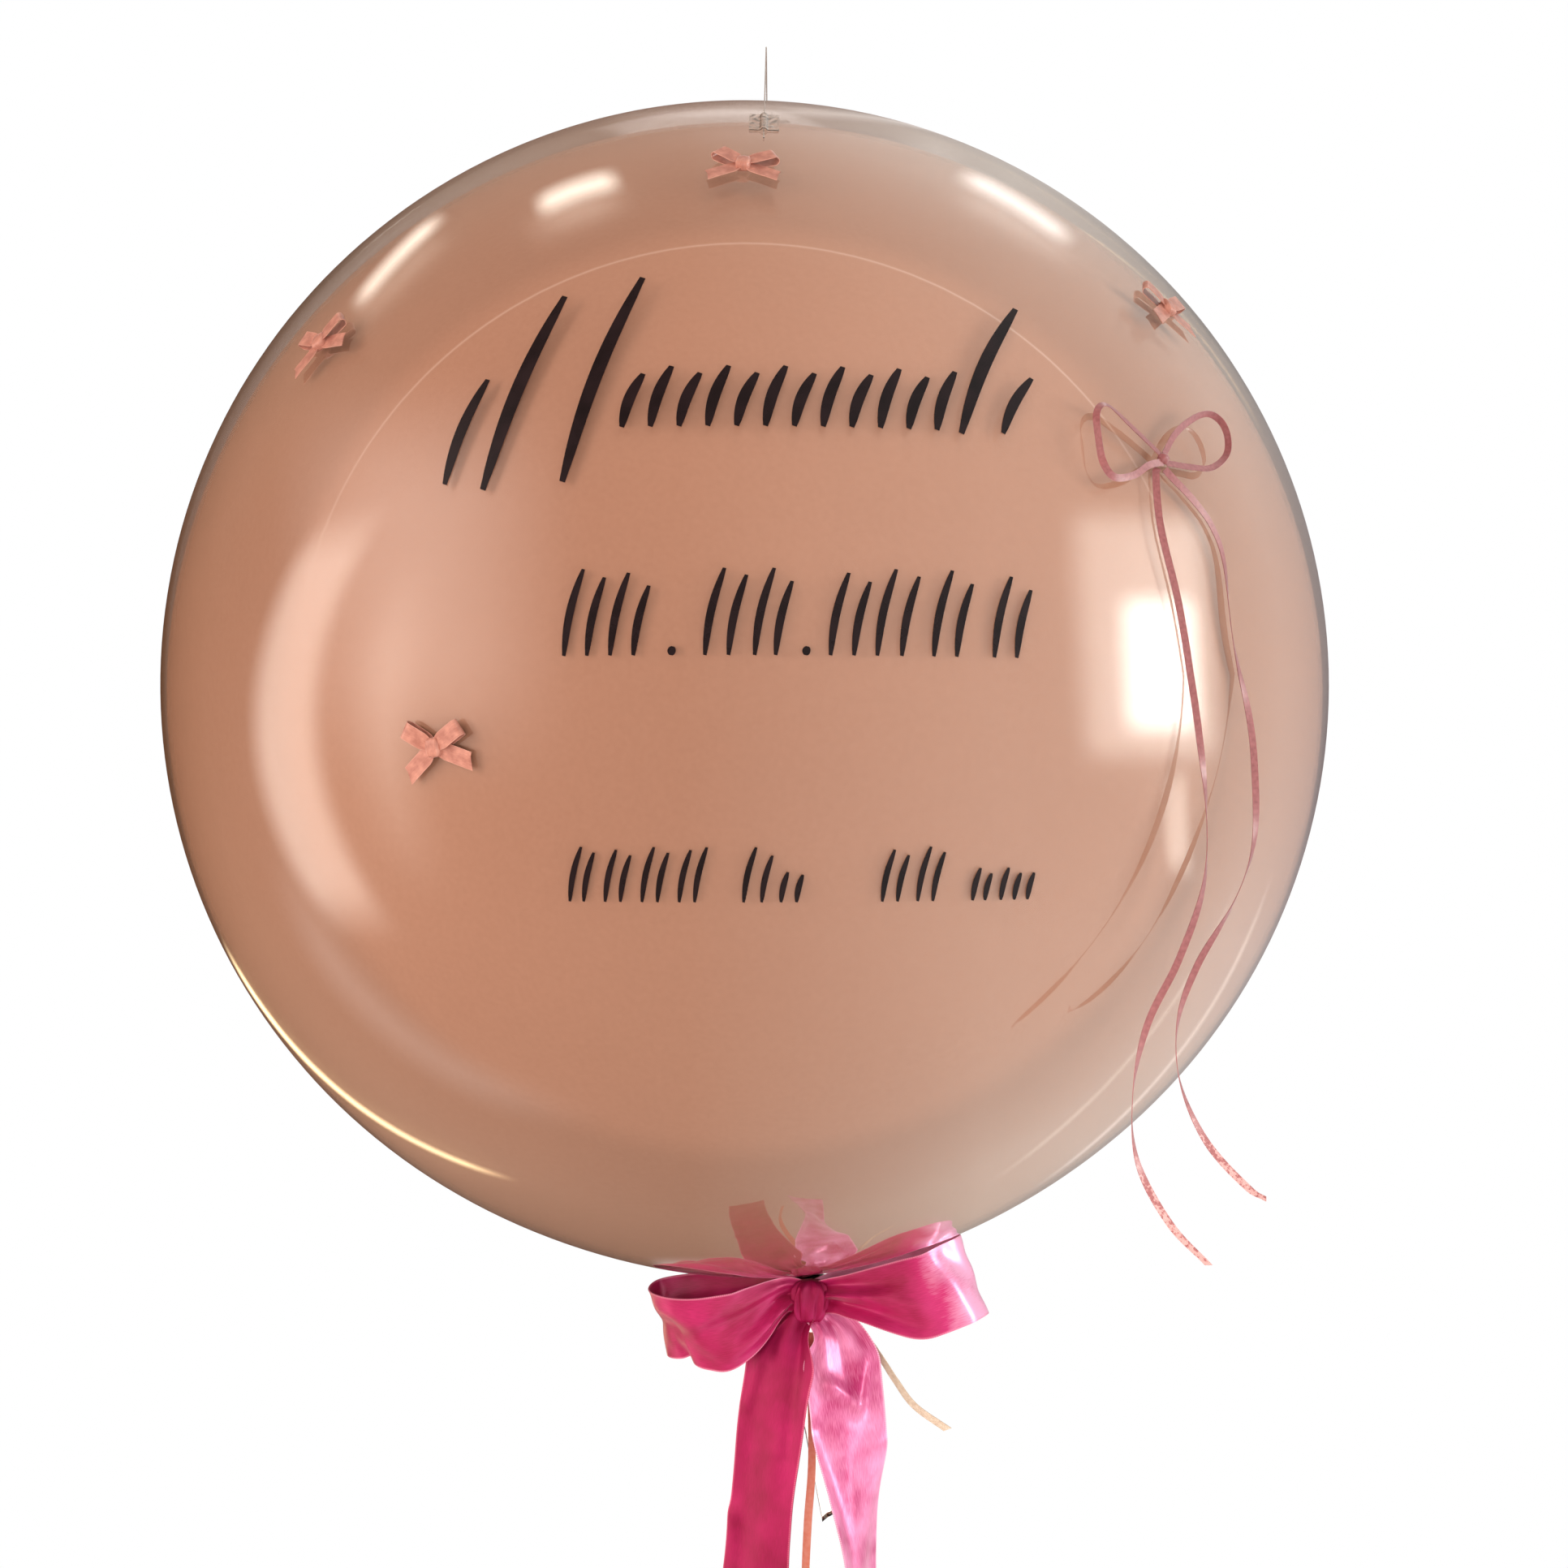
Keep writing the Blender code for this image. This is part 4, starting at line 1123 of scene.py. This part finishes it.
def makeNarrowRibbons(start):
    left = draped(narrow["leftRoute"], start, 150)
    flatRibbon("narrow_ribbon_left", left, narrow["width"], narrowMaterial,
               "narrow_tail_left", narrow["leftTurns"], offFilm)
    right = draped(narrow["rightRoute"], start, 150)
    flatRibbon("narrow_ribbon_right", right, narrow["width"], narrowMaterial,
               "narrow_tail_right", narrow["rightTurns"], offFilm, slant=-0.5)
    salmon = moved(smoothThrough(narrow["salmonRoute"], 110), knotMiddle)
    flatRibbon("salmon_curl", salmon, narrow["curlWidth"], salmonMaterial, "salmon_ribbon",
               narrow["salmonTurns"], forward)
    cream = moved(smoothThrough(narrow["creamRoute"], 60), knotMiddle)
    flatRibbon("cream_curl", cream, narrow["curlWidth"], creamMaterial, "cream_ribbon",
               narrow["creamTurns"], forward)


makeNarrowRibbons(makeNarrowBow())
print("narrow ribbons made")


# Mini bows

mini = {
    "width": 0.0070,
    "thickness": 0.0003,
    "depth": 0.0048,
    "knotWidth": 0.0062,
    "knotHeight": 0.0078,
    "loopLength": 0.0150,
    "tailLength": 0.0170,
    "pinch": 0.62,
    "gather": 0.00035,
    "start": 0.0005,
    "loops": [(146, 0.0), (29, 0.00013)],  # degrees from the right, lift
    "tails": [(217, 0.00011, 0.45), (-23, -0.00012, -0.45)],  # and slant of the cut
    # Azimuth, elevation and roll of each on the film, in degrees
    "places": [
        (0.4, 49.1, -8),
        (-47.3, 30.2, 22),
        (53.6, 35.0, -12),
        (-25.0, -6.5, 4),
        (118, 2, -6),
        (170, 33, 10),
        (-128, -6, -14),
    ],
}


def miniStrand(bm, route, degrees, lift, slant=0.0, seed=0.0):
    angle = math.radians(degrees)
    heading = Vector((math.cos(angle), math.sin(angle), 0))
    across = Vector((-math.sin(angle), math.cos(angle), 0))
    line = [heading * out + Vector((0, 0, gap + lift + height)) for out, height in route]
    shares = [smoothStep(out / mini["knotWidth"]) for out, height in route]
    widths = [mini["width"] * mix(mini["pinch"], 1, share) for share in shares]
    pleats = [mini["gather"] * (1 - share) for share in shares]
    ribbonMesh(bm, line, [across] * len(line), widths, mini["thickness"], 8,
               pleats=pleats, slant=slant, seed=seed)


def miniLoopLine():
    top, bottom = mini["depth"] - mini["thickness"] * 2, mini["thickness"] * 2
    bend, centre = (top - bottom) / 2, (top + bottom) / 2
    edge = mini["knotWidth"] * 0.6
    route = [(mini["start"], top * 0.72), (edge, top * 0.78), (mini["knotWidth"], top * 0.9)]
    steps = 8
    for i in range(steps + 1):
        angle = math.pi * i / steps
        route.append((mini["loopLength"] - bend + bend * math.sin(angle), centre + bend * math.cos(angle)))
    route += [(edge, bottom), (mini["start"], bottom)]
    return smoothThrough(route, 40)


def miniKnot(bm):
    sides, levels, squareness = 40, 22, 0.55
    uvLayer = bm.loops.layers.uv.verify()
    rings = []
    for i in range(levels + 1):
        across = 2 * i / levels - 1
        share = (1 - abs(across) ** 5 * 0.5) * (1 + 0.03 * math.cos(9 * across))
        ring = []
        for k in range(sides):
            angle = 2 * math.pi * (k + 0.5) / sides
            up = powered(math.sin(angle), squareness) * share
            out = powered(math.cos(angle), squareness) * min(share, 1.0)
            height = gap + (1 + out) * mini["depth"] / 2
            ring.append(Vector((across * mini["knotWidth"] / 2, up * mini["knotHeight"] / 2, height)))
        rings.append(ring)
    for row in skin(bm, rings, capped=True):
        for vert in row:
            for loop in vert.link_loops:
                loop[uvLayer].uv = (0.5 + vert.co.x / mini["width"] * 0.9, vert.co.y / mini["width"])


def makeMiniBows():
    bm = bmesh.new()
    for i, values in enumerate(mini["loops"]):
        miniStrand(bm, miniLoopLine(), *values, seed=i)
    tailRoute = [(mini["start"], 0.44), (mini["tailLength"] * 0.3, 0.38), (mini["tailLength"] / 2, 0.35),
                 (mini["tailLength"] * 0.8, 0.33), (mini["tailLength"], 0.29)]
    tailLine = smoothThrough([(out, mini["depth"] * share) for out, share in tailRoute], 24)
    for i, values in enumerate(mini["tails"]):
        miniStrand(bm, tailLine, *values, seed=3 + i)
    miniKnot(bm)
    mesh = meshFrom("mini bow", bm, sharp=60)
    for i, (azimuth, elevation, roll) in enumerate(mini["places"], start=1):
        place = filmFrame(math.radians(azimuth), math.radians(elevation), math.radians(roll))
        pieceOf(f"tied_mini_bow_{i}", mesh, roseMaterial, [f"mini_bow_{i}"], place)


makeMiniBows()
print("mini bows made")


# Hanging thread and tapes


def threadLine():
    # From the front tape up and over the hook, then down to the back tape
    centre = Vector((0, 0, middle.z))
    endAngle = hang["tabAngle"] + (hang["tabLength"] / 2 + hang["threadEnd"]) / film["radius"]
    half = []
    steps = 12
    for i in range(steps + 1):
        angle = mix(endAngle, threadSlope, i / steps)
        half.append((-threadReach * math.sin(angle), threadReach * math.cos(angle)))
    hook = hang["hookRadius"]
    bendStart = (-hook * math.sin(threadSlope), threadBend + hook * math.cos(threadSlope))
    for share in (0.25, 0.5, 0.75, 0.92):
        half.append(tuple(mix(a, b, share) for a, b in zip(half[steps], bendStart)))
    bendSteps = 6
    for i in range(bendSteps):
        angle = threadSlope * (1 - i / bendSteps)
        half.append((-hook * math.sin(angle), threadBend + hook * math.cos(angle)))
    whole = half + [(0, threadBend + hook)] + [(-y, z) for y, z in half[::-1]]
    return [centre + Vector((0, y, z)) for y, z in whole]


def makeThread():
    line = threadLine()
    curve = bpy.data.curves.new("clear thread", "CURVE")
    curve.dimensions = "3D"
    curve.bevel_depth = hang["threadDiameter"] / 2
    curve.bevel_resolution = 3
    curve.use_fill_caps = True
    spline = curve.splines.new("POLY")
    spline.points.add(len(line) - 1)
    for spot, point in zip(spline.points, line):
        spot.co = (*point, 1.0)
    piece = pieceOf("clear_thread", curve, tapeMaterial, ["hang_thread"])


def makeTab(name, node, side):
    # A tape on the film, raised over the thread. side is -1 in front and 1 behind.
    clear = hang["threadDiameter"] / 2 + gap
    columns, rows = 36, 24
    rings = []
    for i in range(rows + 1):
        share = i / rows
        angle = hang["tabAngle"] + hang["tabLength"] * (share - 0.5) / film["radius"]
        under, over = [], []
        for k in range(columns + 1):
            x = mix(-0.5, 0.5, k / columns) * hang["tabWidth"]
            ridge = (hang["threadDiameter"] + gap) * (1 - smoothStep((abs(x) - clear) / (2 * clear)))
            pucker = 0.00012 * (1 + noise.noise(Vector((x * 500, share * 6, side * 3.0))))
            upper = gap + ridge + hang["tabThickness"] / 2 + pucker
            for lift, row in ((gap + ridge, under), (upper, over)):
                radius = math.sqrt((film["radius"] + lift) ** 2 - (x - middle.x) ** 2)
                row.append(Vector((x, side * radius * math.sin(angle), middle.z + radius * math.cos(angle))))
        rings.append(under + over[::-1])
    bm = bmesh.new()
    skin(bm, rings, capped=True)
    pieceFrom(name, bm, tapeMaterial, [node], sharp=50)


makeThread()
makeTab("clear_tape_front", "hang_tab_front", -1)
makeTab("clear_tape_back", "hang_tab_back", 1)
print("thread and tapes made")


# Studio

studio = {
    "floorDrop": 1.20,  # below the hanging point
    "floorHalf": 1.35,
    "lamps": [
        # Name, place from the bubble's middle, width, height, watts, colour
        ("front lamp", (-0.30, -2.30, -0.35), 1.60, 1.20, 26, (1.0, 0.91, 0.83)),
        ("left lamp", (-1.75, -1.30, 0.20), 0.90, 1.40, 14, (1.0, 0.88, 0.78)),
        ("top lamp", (0.30, -0.60, 1.80), 0.80, 0.80, 4, (1.0, 0.93, 0.88)),
        ("low lamp", (0.85, -1.40, -1.15), 0.60, 0.60, 7, (1.0, 0.94, 0.92)),
    ],
    # Colours of the dome from left to right, from below to above, and from front to back
    "sideColours": [
        (0.0, (0.24, 0.120, 0.065)),
        (0.20, (0.38, 0.265, 0.195)),
        (0.45, (0.42, 0.32, 0.26)),
        (0.70, (0.82, 0.86, 0.83)),
        (0.88, (0.74, 0.76, 0.75)),
        (1.0, (0.44, 0.41, 0.42)),
    ],
    "riseColours": [
        (0.0, (0.64, 0.52, 0.45)),
        (0.12, (0.88, 0.82, 0.78)),
        (0.30, (1.0, 0.98, 0.96)),
        (0.55, (0.80, 0.78, 0.76)),
        (0.85, (0.62, 0.60, 0.58)),
        (0.97, (0.90, 0.86, 0.84)),
    ],
    "backColours": [
        (0.78, (1.0, 1.0, 1.0)),
        (0.92, (0.76, 0.70, 0.68)),
        (1.0, (0.46, 0.40, 0.40)),
    ],
    "domeLight": 1.5,
    # Soft panels as a mirror ball would show them: right and up from its middle, half sizes, softness
    # of the ends and of the sides, turn, bend, light, colour
    "panels": [
        (0.640, 0.085, 0.105, 0.190, 0.035, 0.035, 4, 0.0, 2.3, (1.0, 0.99, 0.93)),
        (0.665, 0.040, 0.055, 0.100, 0.030, 0.030, 4, 0.0, 7.5, (1.0, 1.0, 0.94)),
        (0.700, -0.215, 0.075, 0.018, 0.030, 0.014, 96, -0.8, 2.2, (1.0, 0.97, 0.88)),
        (-0.735, -0.055, 0.300, 0.050, 0.060, 0.026, 90, -1.1, 2.3, (1.0, 0.89, 0.80)),
        (-0.565, -0.060, 0.190, 0.030, 0.120, 0.060, 90, -0.8, 1.2, (1.0, 0.89, 0.80)),
        (-0.500, 0.160, 0.140, 0.230, 0.130, 0.130, 0, 0.0, 1.5, (1.0, 0.92, 0.86)),
        (-0.272, 0.795, 0.060, 0.014, 0.022, 0.022, 20, -1.5, 5.0, (1.0, 0.96, 0.84)),
        (-0.560, 0.700, 0.085, 0.010, 0.030, 0.016, 48, -0.6, 3.0, (1.0, 0.93, 0.80)),
        (0.420, 0.800, 0.090, 0.012, 0.030, 0.020, -30, -0.6, 2.4, (1.0, 0.98, 0.95)),
        (-0.717, -0.634, 0.300, 0.003, 0.060, 0.006, -42, 0.7, 4.5, (1.0, 0.74, 0.40)),
        (-0.580, -0.540, 0.260, 0.022, 0.120, 0.030, -42, 0.8, 0.5, (1.0, 0.94, 0.90)),
        (0.741, -0.594, 0.280, 0.002, 0.090, 0.006, 55, 0.53, 0.6, (1.0, 0.97, 0.96)),
        (0.658, -0.587, 0.270, 0.002, 0.090, 0.006, 52, 0.47, 0.6, (1.0, 0.97, 0.96)),
        (0.120, 0.955, 0.260, 0.008, 0.060, 0.016, 4, 0.0, 0.35, (1.0, 0.98, 0.96)),
        (0.000, -0.985, 0.200, 0.020, 0.030, 0.030, 0, 0.0, 1.6, (1.0, 1.0, 1.0)),
    ],
}


def makeLamp(name, place, width, height, watts, colour):
    light = bpy.data.lights.new(name, "AREA")
    light.shape = "RECTANGLE"
    light.size = width
    light.size_y = height
    light.energy = watts
    light.color = colour
    lamp = bpy.data.objects.new(name, light)
    lamp.location = middle + Vector(place)
    lamp.rotation_euler = (middle - lamp.location).to_track_quat("-Z", "Y").to_euler()
    lamp.visible_glossy = False
    lamp.visible_transmission = False
    bpy.context.scene.collection.objects.link(lamp)


def makeFloor():
    bm = bmesh.new()
    half = studio["floorHalf"]
    corners = [(-half, -half), (half, -half), (half, half), (-half, half)]
    bm.faces.new([bm.verts.new((x, y, -studio["floorDrop"])) for x, y in corners])
    bmesh.ops.subdivide_edges(bm, edges=bm.edges, cuts=8, use_grid_fill=True)
    mesh = bpy.data.meshes.new("floor")
    bm.to_mesh(mesh)
    bm.free()
    made, tree, shader = nodeMaterial("pale floor", {"Roughness": 0.6})
    speck = addNode(tree, "ShaderNodeTexNoise", {"Scale": 6.0, "Detail": 4.0}).outputs["Fac"]
    colour = ramp(tree, speck, [(0.3, (0.80, 0.79, 0.78)), (0.7, (0.84, 0.83, 0.82))])
    setInputs(tree, shader, {"Base Color": colour})
    mesh.materials.append(made)
    floor = bpy.data.objects.new("floor", mesh)
    floor.visible_glossy = False
    floor.visible_transmission = False
    bpy.context.scene.collection.objects.link(floor)


def panelGlow(tree, u, v, values):
    place, rise, halfWidth, halfHeight, endSoftness, sideSoftness, turn, bend, strength, colour = values
    cosine, sine = math.cos(math.radians(turn)), math.sin(math.radians(turn))
    du = sums(tree, "SUBTRACT", u, place)
    dv = sums(tree, "SUBTRACT", v, rise)
    across = sums(tree, "ADD", sums(tree, "MULTIPLY", du, cosine), sums(tree, "MULTIPLY", dv, sine))
    up = sums(tree, "SUBTRACT", sums(tree, "MULTIPLY", dv, cosine), sums(tree, "MULTIPLY", du, sine))
    if bend:
        up = sums(tree, "SUBTRACT", up, sums(tree, "MULTIPLY", sums(tree, "MULTIPLY", across, across), bend))
    ends = softWithin(tree, across, halfWidth, endSoftness)
    sides = softWithin(tree, up, halfHeight, sideSoftness)
    light = sums(tree, "MULTIPLY", sums(tree, "MULTIPLY", ends, sides), strength)
    return addNode(tree, "ShaderNodeBackground", {"Color": (*colour, 1.0), "Strength": light}).outputs[0]


def makeWorld():
    # White behind the part, and a dome with soft panels for what the film mirrors
    world = bpy.data.worlds.new("studio")
    bpy.context.scene.world = world
    world.use_nodes = True
    tree = world.node_tree
    tree.nodes.clear()
    parts = addNode(tree, "ShaderNodeSeparateXYZ", {"Vector": placeOf(tree, "Generated")})
    # Right and up on a mirror ball that is seen from the front, each from -1 to 1
    depth = sums(tree, "SUBTRACT", 1.0001, parts.outputs["Y"])
    spread = sums(tree, "SQRT", sums(tree, "MULTIPLY", depth, 2.0))
    u = sums(tree, "DIVIDE", parts.outputs["X"], spread)
    v = sums(tree, "DIVIDE", parts.outputs["Z"], spread)
    # It is duller far behind the part, where the film's rim takes its colour
    colours = []
    for value, stops in ((u, "sideColours"), (v, "riseColours"), (parts.outputs["Y"], "backColours")):
        colours.append(ramp(tree, ranged(tree, value, -1.0, 1.0), studio[stops]))
    dome = mixedColours(tree, 1.0, colours[0], colours[1], "MULTIPLY")
    dulled = mixedColours(tree, 1.0, dome, colours[2], "MULTIPLY")
    room = addNode(tree, "ShaderNodeBackground", {"Color": dulled, "Strength": studio["domeLight"]})
    glow = room.outputs[0]
    for values in studio["panels"]:
        glow = addNode(tree, "ShaderNodeAddShader", {0: glow, 1: panelGlow(tree, u, v, values)}).outputs[0]
    path = addNode(tree, "ShaderNodeLightPath")
    white = addNode(tree, "ShaderNodeBackground", {"Color": (1.0, 1.0, 1.0, 1.0), "Strength": 1.0})
    shaders = {0: path.outputs["Is Camera Ray"], 1: glow, 2: white.outputs[0]}
    both = addNode(tree, "ShaderNodeMixShader", shaders)
    addNode(tree, "ShaderNodeOutputWorld", {"Surface": both.outputs[0]})


for values in studio["lamps"]:
    makeLamp(*values)
makeFloor()
makeWorld()
bpy.context.scene.view_settings.view_transform = "Standard"
print("studio made")
